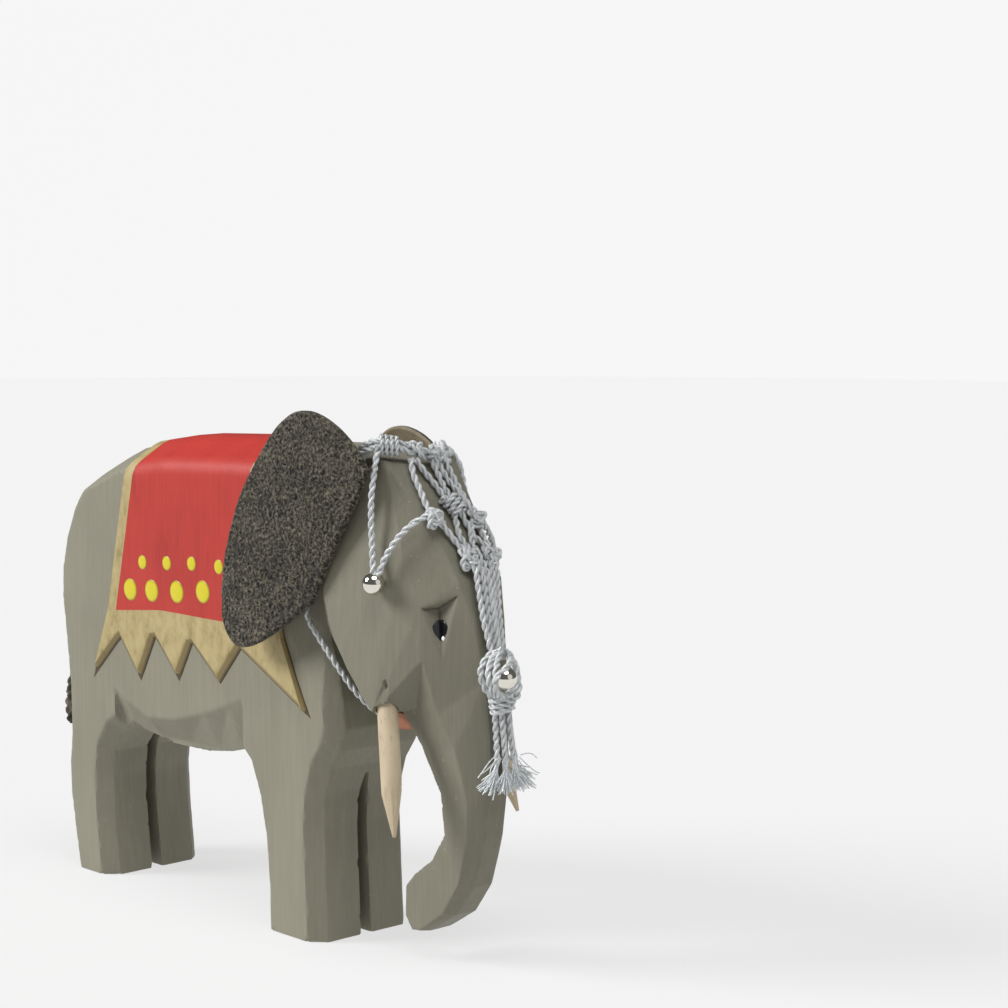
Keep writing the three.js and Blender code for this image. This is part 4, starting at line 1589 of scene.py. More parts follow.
@dataclass
class ClothDots:
    """Two rows of yellow dots on each flank of the cloth."""

    small: tuple[tuple[float, float], ...] = (
        (-31.3, 126.5), (-15.7, 127.7), (-0.2, 129.1), (16.4, 129.6), (31.6, 130.6),
    )
    large: tuple[tuple[float, float], ...] = (
        (-39.5, 115.3), (-25.6, 116.3), (-9.6, 117.6), (6.5, 119.4), (22.4, 120.4), (37.6, 121.4),
    )
    small_radius: float = 2.75
    large_radius: float = 4.3
    rise: float = 0.42

    def build(self, paint: bpy.types.Material, relief: float) -> bpy.types.Object:
        """Make the dots.

        Args:
            paint: their paint.
            relief: how far the cloth under them stands out.

        Returns:
            The piece.
        """
        rows = [
            (x, z, self.small_radius) for x, z in self.small
        ] + [(x, z, self.large_radius) for x, z in self.large]
        places, radii, facings = [], [], []
        for side in Side:
            for x, z, radius in rows:
                places.append((x, side.value * (HALF_WIDTH + relief - 0.06), z))
                radii.append(radius * MM)
                facings.append((0.0, float(side.value), 0.0))
        mesh = bpy.data.meshes.new("dot_places")
        mesh.from_pydata(at(places).tolist(), [], [])
        mesh.attributes.new("radius", "FLOAT", "POINT").data.foreach_set("value", radii)
        mesh.attributes.new("facing", "FLOAT_VECTOR", "POINT").data.foreach_set(
            "vector", np.array(facings).ravel(),
        )
        feeder = bpy.data.objects.new("dot_places", mesh)
        bpy.context.scene.collection.objects.link(feeder)
        tree = DotTree(paint)
        made = grown(feeder, tree.tree, {tree.rise.identifier: self.rise * MM}, "cloth_dots")
        self.mark_rims(made, at(places), np.array(radii))
        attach(made, "root")
        return made

    def mark_rims(self, made: bpy.types.Object, places: np.ndarray, radii: np.ndarray) -> None:
        """Write each point's distance from its dot's middle, as a share of the radius.

        Args:
            made: the dots.
            places: the dots' middles, in metres.
            radii: their radii, in metres.
        """
        points = np.array([v.co for v in made.data.vertices])
        gaps = np.linalg.norm((points[:, None] - places[None]) * [1, 0.2, 1], axis=2) / radii[None]
        share = gaps.min(1)
        made.data.attributes.new("rim", "FLOAT", "POINT").data.foreach_set("value", share.astype(np.float32))


# ---------------------------------------------------------------- ears


@dataclass
class LeatherEar:
    """A leaf of thick leather, rough side out, whose front edge sits in a slot behind the cheek."""

    side: Side
    thickness: float = 2.4
    slot_bottom: tuple[float, float, float] = (78.6, -28.6, 127.4)
    slot_top: tuple[float, float, float] = (101.6, -22.9, 172.6)
    spacing: float = 0.5
    outline: tuple[tuple[float, float], ...] = (
        (-0.4, -4), (0.2, 46), (1.6, 49), (6, 51.6), (12.6, 53.8), (20, 54.8), (28, 54.2), (35, 52),
        (41.2, 47.4), (45.4, 40.2), (47.8, 31), (49.4, 19.5), (49.5, 6), (46, -9.5), (42.8, -18),
        (39.3, -25.6), (34, -33.2), (28, -36.6), (22.4, -36.8), (17.6, -33.8), (12.6, -27.6), (6, -16.6),
    )

    def shift(self) -> tuple[float, float]:
        """Give how far back and down this ear sits; the left one was set lower."""
        return (5.0, -12.5) if self.side is Side.LEFT else (0.0, 0.0)

    def axes(self) -> tuple[np.ndarray, np.ndarray, np.ndarray, np.ndarray]:
        """Give the slot's lower end and the leaf's directions back, up and out."""
        low, high = np.array(self.slot_bottom), np.array(self.slot_top)
        up = (high - low) / np.linalg.norm(high - low)
        angle = math.radians(4.0 if self.side is Side.LEFT else 6.0)
        flare = np.array([-math.cos(angle), -math.sin(angle), 0.0])
        face = np.cross(up, flare)
        face /= np.linalg.norm(face)
        back = np.cross(face, up)
        face = face if face[1] < 0 else -face
        flip = np.array([1.0, -self.side.value, 1.0])
        return low * flip, back * flip, up * flip, face * flip

    def cup(self, flat: np.ndarray) -> np.ndarray:
        """Give how far the leaf bows outward at each place, as soft leather does.

        Args:
            flat: places on the leaf.

        Returns:
            Millimetres outward for each place.
        """
        b, u = flat[:, 0] / 50, (flat[:, 1] - 8) / 46
        bow = 1.5 * np.sin(np.clip(b, 0, 1) * math.pi) - 1.0 * b**2 * np.abs(u) ** 1.5
        return bow + 0.25 * np.sin(flat[:, 1] / 9 + flat[:, 0] / 14)

    def build(self, suede: bpy.types.Material, smooth_side: bpy.types.Material) -> bpy.types.Object:
        """Make the leaf.

        Args:
            suede: the finish of its outer face.
            smooth_side: the finish of its inner face and edge.

        Returns:
            The piece.
        """
        back_shift, drop = self.shift()
        loop = np.array([[b, u, 0.0] for b, u in (*self.outline, self.outline[0])])
        rounded = smooth_path(loop, 1.0)[:-1, :2]
        if self.area(rounded) < 0:
            rounded = rounded[::-1]
        inner = cut_line(rounded, np.full(len(rounded), 0.8))
        flat, triangles = triangulated([rounded, inner], self.spacing, 0.35)
        origin, back, up, face = self.axes()
        rim = gap_to(flat, rounded)
        half = self.thickness / 2 * np.sqrt(np.clip(1 - (1 - np.clip(rim / 0.8, 0, 1)) ** 2, 0.16, 1))
        nap = np.array([self.nap(p) for p in flat]) * np.clip(rim / 1.2, 0.35, 1)
        place = flat + [back_shift, drop]
        bowed = self.cup(flat)
        base = origin + place[:, :1] * back + place[:, 1:] * up + bowed[:, None] * face
        outer = base + (half + nap)[:, None] * face
        inside_face = base - half[:, None] * face
        count = len(flat)
        forward = np.cross(back, up) @ face > 0
        outer_faces = [list(t) if forward else list(reversed(t)) for t in triangles]
        shell = Shell()
        shell.add(at(np.vstack([outer, inside_face])), [
            *outer_faces,
            *[[count + i for i in reversed(t)] for t in outer_faces],
            *[[b, a, count + a, count + b] for a, b in rim_edges(outer_faces)],
        ])
        shell.slots = [0] * len(outer_faces) + [1] * len(outer_faces) + [0] * (
            len(shell.faces) - 2 * len(outer_faces)
        )
        made = shell.mesh_object(f"ear_{self.side.word}_leather", [suede, smooth_side])
        body = f"ear_{self.side.word}"
        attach(made, body)
        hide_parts(body)
        return made

    @staticmethod
    def area(ring: np.ndarray) -> float:
        """Give the area inside a ring, positive when it runs anticlockwise.

        Args:
            ring: its points in order.

        Returns:
            The area in the square of their unit.
        """
        after = np.roll(ring, -1, axis=0)
        return float(0.5 * np.sum(ring[:, 0] * after[:, 1] - after[:, 0] * ring[:, 1]))

    @staticmethod
    def nap(p: np.ndarray) -> float:
        """Give the height of the suede's nap at a place on the leaf, in millimetres.

        Args:
            p: the place.

        Returns:
            The height.
        """
        wander = 0.7 * noise.noise(Vector((p[0] / 2.2, p[1] / 2.2, 4.0)))
        curl = 1 - 2 * abs(noise.noise(Vector((p[0] / 1.5 + wander, p[1] / 1.5 - wander, 0.0))))
        tufts = noise.noise(Vector((p[0] / 0.75, p[1] / 0.75, 2.0)))
        lumps = noise.noise(Vector((p[0] / 3.0, p[1] / 3.0, 9.0)))
        return 0.5 * curl + 0.2 * tufts + 0.22 * lumps - 0.2


# ---------------------------------------------------------------- tusks, tail, beads, eyes


@dataclass
class Tusk:
    """A round peg whose lower third is whittled to a point with long flat cuts."""

    side: Side
    radius: float = 3.6
    root: tuple[float, float, float] = (104.6, -19.6, 95.0)
    tip: tuple[float, float, float] = (118.6, -28.4, 48.8)
    socket: float = 8.0
    cuts: int = 7
    taper: float = 0.36  # share of the length that is whittled
    sides: int = 48

    def build(self, beech: bpy.types.Material) -> bpy.types.Object:
        """Make the tusk in its finish.

        Args:
            beech: its finish.

        Returns:
            The piece.
        """
        root, tip = mirrored([self.root, self.tip], self.side)
        along = (tip - root) / np.linalg.norm(tip - root)
        start = root - along * self.socket
        length = np.linalg.norm(tip - start)
        heights = np.concatenate([
            np.linspace(0, length * (1 - self.taper), 26),
            np.linspace(length * (1 - self.taper), length, 40)[1:],
        ])
        line = start + heights[:, None] * along
        turns = np.linspace(0, 2 * math.pi, self.sides, endpoint=False)
        offsets = np.linspace(0, 2 * math.pi, self.cuts, endpoint=False)
        radii = np.empty((len(heights), len(turns)))
        for i, h in enumerate(heights):
            left = length - h
            reach = np.full(len(turns), self.radius)
            for k, offset in enumerate(offsets):
                slope = 0.17 + 0.035 * math.sin(2.4 * k + 1.0)
                plane = 0.55 + slope * left
                facing = np.cos(turns - offset)
                cut = np.where(facing > 0.2, plane / np.maximum(facing, 0.2), 1e3)
                reach = np.minimum(reach, cut)
            radii[i] = np.minimum(reach, self.radius)
        shell = Shell()
        shell.tube(at(line), radii * MM, self.sides)
        made = shell.mesh_object(f"tusk_{self.side.word}_whittled", [beech])
        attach(made, "root")
        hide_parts(f"tusk_{self.side.word}")
        return made


@dataclass
class LowerLip:
    """The short lower lip between the tusks, painted salmon pink."""

    corners: tuple[tuple[float, float, float], ...] = (
        (94, -11, 87), (94, 11, 87), (105.5, -9.5, 86), (105.5, 9.5, 86), (107, -8.5, 83.6), (107, 8.5, 83.6),
        (104, -8, 80.4), (104, 8, 80.4), (95, -8, 79.6), (95, 8, 79.6),
    )
    edge_mm: float = 0.7

    def build(self, salmon: bpy.types.Material) -> bpy.types.Object:
        """Make the lip in its paint.

        Args:
            salmon: its paint.

        Returns:
            The piece.
        """
        shape = bmesh.new()
        bmesh.ops.convex_hull(shape, input=[shape.verts.new(p) for p in at(self.corners)])
        bmesh.ops.dissolve_limit(shape, angle_limit=0.03, verts=shape.verts, edges=shape.edges)
        bmesh.ops.bevel(
            shape, geom=shape.edges[:], offset=self.edge_mm * MM, segments=3, profile=0.6, affect="EDGES",
        )
        bmesh.ops.triangulate(shape, faces=shape.faces)
        mesh = bpy.data.meshes.new("lower_lip")
        shape.to_mesh(mesh)
        shape.free()
        mesh.materials.append(salmon)
        made = bpy.data.objects.new("lower_lip", mesh)
        bpy.context.scene.collection.objects.link(made)
        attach(made, "root")
        return made


@dataclass
class Tail:
    """A leather strip, wrung while wet, that ends in a ragged, folded tuft."""

    route: tuple[tuple[float, float, float], ...] = (
        (-84.5, 0, 121), (-90, 0, 121), (-96, -0.4, 119), (-99.6, -2, 112), (-100.6, -4, 98), (-101, -6, 84),
        (-102, -7.4, 72), (-103.4, -8, 61), (-103.6, -7.6, 52.5),
    )

    def build(self, leather: bpy.types.Material) -> bpy.types.Object:
        """Make the tail in its finish.

        Args:
            leather: its finish.

        Returns:
            The piece.
        """
        path = smooth_path(np.array(self.route), 0.5)
        run = run_along(path)
        sides = 28
        turns = np.linspace(0, 2 * math.pi, sides, endpoint=False)
        radii = np.empty((len(run), sides))
        for i, s in enumerate(run):
            share = s / run[-1]
            wring = 0.11 * s
            swell = 1.9 + 2.3 * np.interp(share, [0, 0.72, 0.84, 0.93, 1.0], [0, 0, 1.0, 0.85, 0.15])
            fold = 1 + 0.34 * np.cos(3 * (turns + wring)) + 0.16 * np.cos(7 * (turns - 1.7 * wring))
            rough = np.array([noise.noise(Vector((s / 1.6, math.cos(t), math.sin(t)))) for t in turns])
            radii[i] = np.clip(swell * fold * 0.8 + 0.55 * rough * (0.4 + share), 0.5, 5.2)
        shell = Shell()
        shell.tube(at(path), radii * MM, sides)
        made = shell.mesh_object("tail_leather", [leather])
        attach(made, "tail")
        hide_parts("tail")
        return made


@dataclass
class Bead:
    """A drilled ball with a softly broken edge round its hole."""

    name: str
    node: str
    body: str
    centre: tuple[float, float, float]
    axis: tuple[float, float, float]
    radius: float = 3.9
    hole: float = 1.25

    def build(self, nickel: bpy.types.Material) -> bpy.types.Object:
        """Make the bead in its finish.

        Args:
            nickel: its finish.

        Returns:
            The piece.
        """
        sides = 56
        lip = math.asin((self.hole + 0.25) / self.radius)
        outer = [
            (self.radius * math.sin(a), self.radius * math.cos(a))
            for a in np.linspace(lip, math.pi - lip, 40)
        ]
        deep = self.radius * math.cos(lip)
        wall = [(self.hole, -deep + 0.3), (self.hole, 0.0), (self.hole, deep - 0.3)]
        profile = outer + wall
        middle = at(self.centre)[0]
        pole = Vector(self.axis).normalized()
        turn = Vector((0, 0, 1)).rotation_difference(pole)
        angles = np.linspace(0, 2 * math.pi, sides, endpoint=False)
        points = [
            middle + np.array(turn @ Vector((r * math.cos(t), r * math.sin(t), z))) * MM
            for r, z in profile for t in angles
        ]
        rows = len(profile)
        faces = [
            [
                i * sides + j, (i + 1) % rows * sides + j, (i + 1) % rows * sides + (j + 1) % sides,
                i * sides + (j + 1) % sides,
            ]
            for i in range(rows) for j in range(sides)
        ]
        shell = Shell()
        shell.add(np.array(points), faces)
        made = shell.mesh_object(self.name, [nickel])
        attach(made, self.body)
        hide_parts(self.node)
        return made


@dataclass
class PaintedEye:
    """A black enamel drop with a white glint, painted over the crease of the eye hollow."""

    side: Side
    centre: tuple[float, float, float] = (125.0, -13.6, 118.5)
    facing: tuple[float, float, float] = (0.6045, -0.7966, 0.0)
    coat: float = 0.22
    drop: tuple[tuple[float, float], ...] = (
        (-2.5, 0.6), (-2.2, 1.8), (-1.4, 2.7), (-0.3, 3.0), (0.9, 3.05), (1.9, 2.7), (2.6, 1.8), (2.75, 0.6),
        (2.4, -1.2), (1.6, -2.7), (0.7, -3.8), (0.1, -3.7), (-0.6, -2.9), (-1.8, -1.2),
    )
    glint: tuple[float, float] = (1.05, -2.85)
    glint_radius: float = 0.72

    def build(self, black: bpy.types.Material, white: bpy.types.Material, wood: BVHTree) -> bpy.types.Object:
        """Make the eye.

        Args:
            black: the drop's enamel.
            white: the glint's enamel.
            wood: the head's surface, to lay the paint on.

        Returns:
            The piece.
        """
        loop = np.array([[a, b, 0.0] for a, b in (*self.drop, self.drop[0])])
        ring = smooth_path(loop, 0.35)[:-1, :2]
        ring = ring if LeatherEar.area(ring) > 0 else ring[::-1]
        turn = np.linspace(0, 2 * math.pi, 20, endpoint=False)
        dot = np.stack([
            self.glint[0] + self.glint_radius * np.cos(turn),
            self.glint[1] + 1.25 * self.glint_radius * np.sin(turn),
        ], 1)
        shell = Shell()
        self.lay(shell, ring, self.coat, wood, 0)
        self.lay(shell, dot, self.coat + 0.14, wood, 1)
        made = shell.mesh_object(f"eye_{self.side.word}_paint", [black, white])
        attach(made, "root")
        return made

    def lay(self, shell: Shell, ring: np.ndarray, coat: float, wood: BVHTree, slot: int) -> None:
        """Lay one closed patch of paint on the wood.

        Args:
            shell: what it is added to.
            ring: its outline, across and up, in millimetres.
            coat: its thickness in the middle.
            wood: the surface under it.
            slot: which material it takes.
        """
        flat, triangles = triangulated([ring], 0.4, 0.16)
        out = mirrored([self.facing], self.side)[0]
        across = np.array([-out[1], out[0], 0.0]) * (-1 if self.side is Side.LEFT else 1)
        middle = mirrored([self.centre], self.side)[0]
        rim = np.clip(gap_to(flat, ring) / 0.7, 0, 1)
        top, under = [], []
        for (a, b), share in zip(flat, rim):
            guess = at(middle + a * across + b * np.array([0, 0, 1.0]) + 6 * out)[0]
            hit, _, _, _ = wood.ray_cast(Vector(guess), Vector(-out), 0.014)
            spot = np.array(hit) if hit is not None else guess - out * 6 * MM
            top.append(spot + out * MM * coat * (0.25 + 0.75 * math.sqrt(share)))
            under.append(spot - out * MM * 0.5)
        count = len(flat)
        outward = np.cross(across, [0, 0, 1.0]) @ out > 0
        faces = [list(t) if outward else list(reversed(t)) for t in triangles]
        shell.add(np.array(top + under), [
            *faces, *[[count + i for i in reversed(t)] for t in faces],
            *[[b, a, count + a, count + b] for a, b in rim_edges(faces)],
        ], slot=slot)


# ---------------------------------------------------------------- cords and knots


@dataclass
class CordMaker:
    """Two-strand cord: it lays both strands round a centreline."""

    diameter: float = 2.3
    pitch: float = 6.6  # length of one full turn of the two strands
    strands: int = 2
    sides: int = 8
    step: float = 0.42

    def lay(
        self, shell: Shell, route: np.ndarray, diameter: float | None = None, phase: float = 0.0,
    ) -> np.ndarray:
        """Add one cord along a route.

        Args:
            shell: what it is added to.
            route: points in millimetres.
            diameter: the cord's diameter, if not the usual one.
            phase: how far the strands are turned at the start.

        Returns:
            The centreline, in metres.
        """
        wide = diameter or self.diameter
        path = smooth_path(np.asarray(route, float), self.step)
        across, upward = carried_frames(path)
        run = run_along(path)
        strand, lay_radius = 0.258 * wide, 0.25 * wide
        pitch = self.pitch * wide / self.diameter
        for k in range(self.strands):
            angle = 2 * math.pi * (run / pitch + k / self.strands) + phase
            line = path + lay_radius * (np.cos(angle)[:, None] * across + np.sin(angle)[:, None] * upward)
            shell.tube(at(line), strand * MM, self.sides)
        return at(path)


def trefoil(
    centre: np.ndarray, out: np.ndarray, along: np.ndarray, size: float, depth: float, spin: float,
) -> np.ndarray:
    """Give the route of an overhand knot pulled close.

    Args:
        centre: its middle, in millimetres.
        out: the direction away from the wood.
        along: the direction in which the cord runs through it.
        size: half its width.
        depth: half its thickness.
        spin: how far it is turned about the outward direction, in radians.

    Returns:
        The closed route's points, with its first point repeated at its end.
    """
    out = out / np.linalg.norm(out)
    along = along - (along @ out) * out
    along /= np.linalg.norm(along)
    across = np.cross(out, along)
    t = np.linspace(0, 2 * math.pi, 37)
    a = (np.sin(t + spin) + 2 * np.sin(2 * t + spin)) * size / 3
    b = (np.cos(t + spin) - 2 * np.cos(2 * t + spin)) * size / 3
    c = -np.sin(3 * t) * depth
    return centre + a[:, None] * across + b[:, None] * along + c[:, None] * out


def winding(
    start: np.ndarray, end: np.ndarray, radius: float, turns: float, squash: float = 1.0,
) -> np.ndarray:
    """Give the route of a cord wound round a line.

    Args:
        start: one end of the line.
        end: its other end.
        radius: the winding's radius.
        turns: how many turns it makes.
        squash: how far it is flattened in its second direction.

    Returns:
        The route's points.
    """
    t = np.linspace(0, 1, max(8, int(turns * 14)))
    line = start + t[:, None] * (end - start)
    across, upward = carried_frames(np.array([start, (start + end) / 2, end]))
    angle = 2 * math.pi * turns * t
    return line + radius * (np.cos(angle)[:, None] * across[0] + squash * np.sin(angle)[:, None] * upward[0])


FOREHEAD_TOP = np.array([104.2, 0.0, 172.2])
FOREHEAD_DOWN = np.array([26.2, 0.0, -37.7]) / math.hypot(26.2, 37.7)
FOREHEAD_OUT = np.array([-FOREHEAD_DOWN[2], 0.0, FOREHEAD_DOWN[0]])


def on_forehead(down: float, y: float, lift: float) -> np.ndarray:
    """Give a point on the forehead, in millimetres: down its face, sideways, and off the wood.

    Args:
        down: how far below the top of the forehead.
        y: how far to the left.
        lift: how far off the wood.

    Returns:
        The point.
    """
    return FOREHEAD_TOP + FOREHEAD_DOWN * down + FOREHEAD_OUT * lift + [0.0, y, 0.0]


class ThreadTree(Wiring):
    """A node tree that gives every polyline of a mesh a round section, as loose threads."""

    def __init__(self, material: bpy.types.Material) -> None:
        """Write the tree.

        Args:
            material: the threads' finish.
        """
        super().__init__(bpy.data.node_groups.new("loose_threads", "GeometryNodeTree"))
        face = self.tree.interface
        face.new_socket("Geometry", in_out="INPUT", socket_type="NodeSocketGeometry")
        self.radius = face.new_socket("Thread Radius", in_out="INPUT", socket_type="NodeSocketFloat")
        self.sides = face.new_socket("Sides", in_out="INPUT", socket_type="NodeSocketInt")
        face.new_socket("Geometry", in_out="OUTPUT", socket_type="NodeSocketGeometry")
        entry, leave = self.node("NodeGroupInput"), self.node("NodeGroupOutput")
        lines = self.node("GeometryNodeMeshToCurve", {0: entry.outputs[0]})
        section = self.node("GeometryNodeCurvePrimitiveCircle", {
            "Resolution": entry.outputs["Sides"], "Radius": entry.outputs["Thread Radius"],
        })
        tubes = self.node("GeometryNodeCurveToMesh", {
            "Curve": lines.outputs[0], "Profile Curve": section.outputs[0], "Fill Caps": True,
        })
        real = self.node("GeometryNodeRealizeInstances", {0: tubes.outputs[0]})
        dressed = self.node("GeometryNodeSetMaterial", {"Geometry": real.outputs[0], "Material": material})
        self.tree.links.new(dressed.outputs[0], leave.inputs[0])


@dataclass
class Headdress:
    """Silver cord knotted into a net on the forehead and gathered into one knot on the trunk."""

    maker: CordMaker = field(default_factory=CordMaker)

    # Each net cord: down the forehead, sideways and lift at each point, then its run on the trunk.
    net: tuple[tuple[tuple[float, float, float], ...], ...] = (
        (
            (-1.0, -9.4, 2.6), (4.7, -10.2, 1.6), (11.4, -10.2, 1.5), (16.8, -10.4, 1.6),
            (21.6, -10.2, 2.6), (26.1, -7.4, 2.2), (32.4, -4.6, 1.8), (37.4, -3.6, 3.4),
        ),
        (
            (-0.5, -7.6, 2.8), (3.9, -5.2, 1.8), (9.6, -2.6, 1.5), (14.6, -1.4, 1.8), (18.6, -0.6, 3.0),
            (23.7, -0.9, 1.8), (29.5, -2.0, 1.6), (35.4, -2.2, 3.2),
        ),
        (
            (0.1, -0.8, 2.8), (5.6, 0.4, 1.6), (11.0, 0.6, 1.6), (15.4, 0.9, 2.4), (19.1, 2.0, 2.6),
            (25.2, 3.3, 1.6), (30.8, 4.6, 1.6), (36.5, 6.6, 3.0),
        ),
        (
            (0.8, 1.6, 2.8), (7.1, 3.5, 1.6), (12.8, 5.4, 1.6), (17.8, 6.6, 1.8), (22.8, 7.6, 3.0),
            (26.1, 5.2, 1.8), (30.6, 2.6, 1.6), (36.0, 0.6, 3.4),
        ),
        (
            (0.5, 5.0, 2.8), (6.1, 6.2, 1.8), (12.3, 6.9, 1.6), (17.9, 7.6, 1.8), (22.8, 8.4, 2.8),
            (28.2, 8.0, 1.8), (33.1, 8.2, 1.8), (38.4, 7.6, 3.2),
        ),
    )
    trunk_runs: tuple[tuple[tuple[float, float, float], ...], ...] = (
        (
            (132.6, -4.0, 138.4), (134.0, -4.4, 134.0), (135.6, -4.6, 128.5), (137.4, -4.8, 122.0),
            (138.8, -4.2, 116.4), (140.0, -3.6, 111.0),
        ),
        (
            (133.2, -2.0, 138.2), (134.6, -2.2, 134.0), (136.0, -2.4, 128.4), (137.8, -2.6, 121.6),
            (139.4, -2.2, 115.4), (140.6, -2.0, 110.4),
        ),
        (
            (133.4, 2.6, 137.6), (134.8, 1.8, 133.6), (136.2, 0.9, 128.2), (138.0, 0.0, 121.2),
            (139.4, -0.2, 114.6), (140.4, -0.4, 109.4),
        ),
        (
            (133.4, 0.2, 138.0), (135.8, -0.6, 133.4), (137.6, -1.2, 127.8), (139.4, -1.6, 121.0),
            (141.0, -1.6, 114.6), (142.0, -1.6, 109.6),
        ),
        (
            (133.2, 5.0, 137.4), (134.4, 4.2, 133.4), (135.8, 3.2, 128.0), (137.8, 2.2, 120.6),
            (139.2, 1.8, 114.2), (140.2, 1.2, 108.8),
        ),
    )
    knots: tuple[tuple[str, float, float, float, float], ...] = (
        ("knot_brow_right", 22.7, -10.7, 3.5, 0.3),
        ("knot_brow_left", 24.3, 7.4, 3.2, 1.1),
        ("knot_low_right", 38.6, -3.2, 4.2, 0.7),
        ("knot_low_left", 39.2, 6.0, 3.8, 2.0),
    )
    band_route: tuple[tuple[float, float, float], ...] = (
        (88.8, -18.2, 174.6), (92.3, -18.0, 177.4), (97.2, -16.6, 179.4), (100.4, -13.6, 179.0),
        (102.0, -10.0, 178.0), (103.8, -6.0, 176.6), (105.2, -2.0, 175.6), (106.2, 2.0, 174.6),
        (106.0, 5.0, 173.8), (104.0, 8.6, 173.6), (100.4, 12.0, 174.6), (95.6, 14.6, 175.8),
        (90.0, 17.2, 176.0),
    )
    throat_route: tuple[tuple[float, float, float], ...] = (
        (84.6, -20, 176.4), (79, -21.4, 170), (74, -21.8, 160), (70, -21.4, 148), (67, -22, 136),
        (66, -23, 126), (67.6, -24, 117.6), (71.4, -23.6, 112.4), (76.4, -22.6, 106.4), (82, -20.6, 99),
        (87, -18.4, 92.6), (90.6, -13.6, 86.6), (92.6, -7, 83), (93.2, 0, 82),
    )
    loop_down: tuple[tuple[float, float, float], ...] = (
        (100.1, -20.5, 171.4), (100.3, -21.4, 167.6), (100.4, -22.3, 162), (101, -23, 154),
        (101.8, -23.4, 147), (103.4, -24.4, 139.6),
    )
    loop_bead: tuple[float, float, float] = (105.4, -25.8, 133.2)
    loop_up: tuple[tuple[float, float, float], ...] = (
        (107.4, -24.8, 137.4), (109.4, -23.8, 142.6), (111.6, -22.2, 147), (113.6, -19.8, 150.8),
        (115.8, -16.9, 154.0),
    )
    left_loop_down: tuple[tuple[float, float, float], ...] = (
        (99.0, 18.9, 169.8), (99.5, 19.9, 164.6), (100.2, 21.0, 157.0), (101.4, 22.8, 148.0),
        (103.4, 24.4, 139.6),
    )
    left_loop_up: tuple[tuple[float, float, float], ...] = (
        (107.4, 24.8, 136.8), (110.6, 23.4, 139.4), (114.6, 20.2, 142.8), (118.0, 16.4, 146.0),
    )
    # The short ends that are tied in, so that each loop can swing below them.
    top_ends: tuple[tuple[tuple[float, float, float], ...], ...] = (
        ((98.2, -16.2, 179.2), (99.0, -18.4, 176.4), (99.8, -19.9, 173.4), (100.1, -20.6, 171.0)),
        ((95.6, 14.6, 176.4), (97.0, 16.6, 174.4), (98.4, 18.2, 171.8), (99.0, 19.0, 169.4)),
    )
    brow_ends: dict[str, tuple[tuple[float, float, float], ...]] = field(
        default_factory=lambda: {
            "knot_brow_right": (
                (115.6, -17.2, 153.7), (117.2, -15.2, 155.2), (119.2, -12.8, 156.6), (120.6, -10.6, 156.2),
            ),
            "knot_brow_left": (
                (117.8, 16.7, 145.8), (119.6, 13.6, 148.6), (121.0, 10.8, 151.2), (121.2, 8.8, 153.4),
            ),
        }
    )
    trunk_bead: tuple[float, float, float] = (149.4, -6.2, 104.4)

    def build(self, yarn: bpy.types.Material, nickel: bpy.types.Material) -> list[bpy.types.Object]:
        """Make every cord, knot and bead.

        Args:
            yarn: the cord's finish.
            nickel: the beads' finish.

        Returns:
            The pieces.
        """
        made = [self.throat(yarn), self.band(yarn)]
        made += self.net_cords(yarn)
        made += [self.side_loop(side, yarn) for side in Side]
        made += self.trunk_pieces(yarn)
        for side in Side:
            x, y, z = mirrored([self.loop_bead], side)[0]
            word = side.word
            made.append(
                Bead(
                    f"cheek_bead_{word}", f"side_bead_{word}", f"side_loop_{word}", (x, y, z),
                    (0.15, 0.0, 1.0),
                ).build(nickel)
            )
        made.append(
            Bead("trunk_bead_ball", "trunk_bead", "root", self.trunk_bead, (0.25, 1.0, 0.1)).build(nickel)
        )
        return made

    def throat(self, yarn: bpy.types.Material) -> bpy.types.Object:
        """Make the cord that passes behind both ears and under the jaw.

        Args:
            yarn: the cord's finish.

        Returns:
            The piece.
        """
        half = np.array(self.throat_route)
        route = np.vstack([half, mirrored(half, Side.LEFT)[::-1][1:]])
        shell = Shell()
        centre = self.maker.lay(shell, route)
        made = shell.mesh_object("throat_cord_laid", [yarn])
        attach(made, "root")
        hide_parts("throat_cord")
        return made

    def band(self, yarn: bpy.types.Material) -> bpy.types.Object:
        """Make the cords twisted together over the crown, with the winding that binds them.

        Args:
            yarn: the cord's finish.

        Returns:
            The piece.
        """
        path = smooth_path(np.array(self.band_route), 0.5)
        across, upward = carried_frames(path)
        run = run_along(path)
        shell = Shell()
        for k in range(3):
            angle = run / 7.5 + k * 2 * math.pi / 3
            line = path + 1.4 * (np.cos(angle)[:, None] * across + np.sin(angle)[:, None] * upward)
            self.maker.lay(shell, line[::3], 2.2, phase=k * 1.3)
        bound = path[int(len(path) * 0.17)], path[int(len(path) * 0.31)]
        self.maker.lay(shell, winding(bound[0], bound[1], 3.0, 4.5), 1.6)
        for share, size, spin in ((0.42, 2.8, 0.4), (0.55, 2.8, 1.6)):
            i = int(len(path) * share)
            out = np.array([0.5, -0.25, 0.83])
            self.maker.lay(
                shell, trefoil(path[i] + out * 1.2, out, path[i + 1] - path[i], size, 1.5, spin), 2.1,
            )
        for end in self.top_ends:
            self.maker.lay(shell, np.array(end))
        made = shell.mesh_object("crown_band_cords", [yarn])
        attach(made, "root")
        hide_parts("crown_band")
        return made

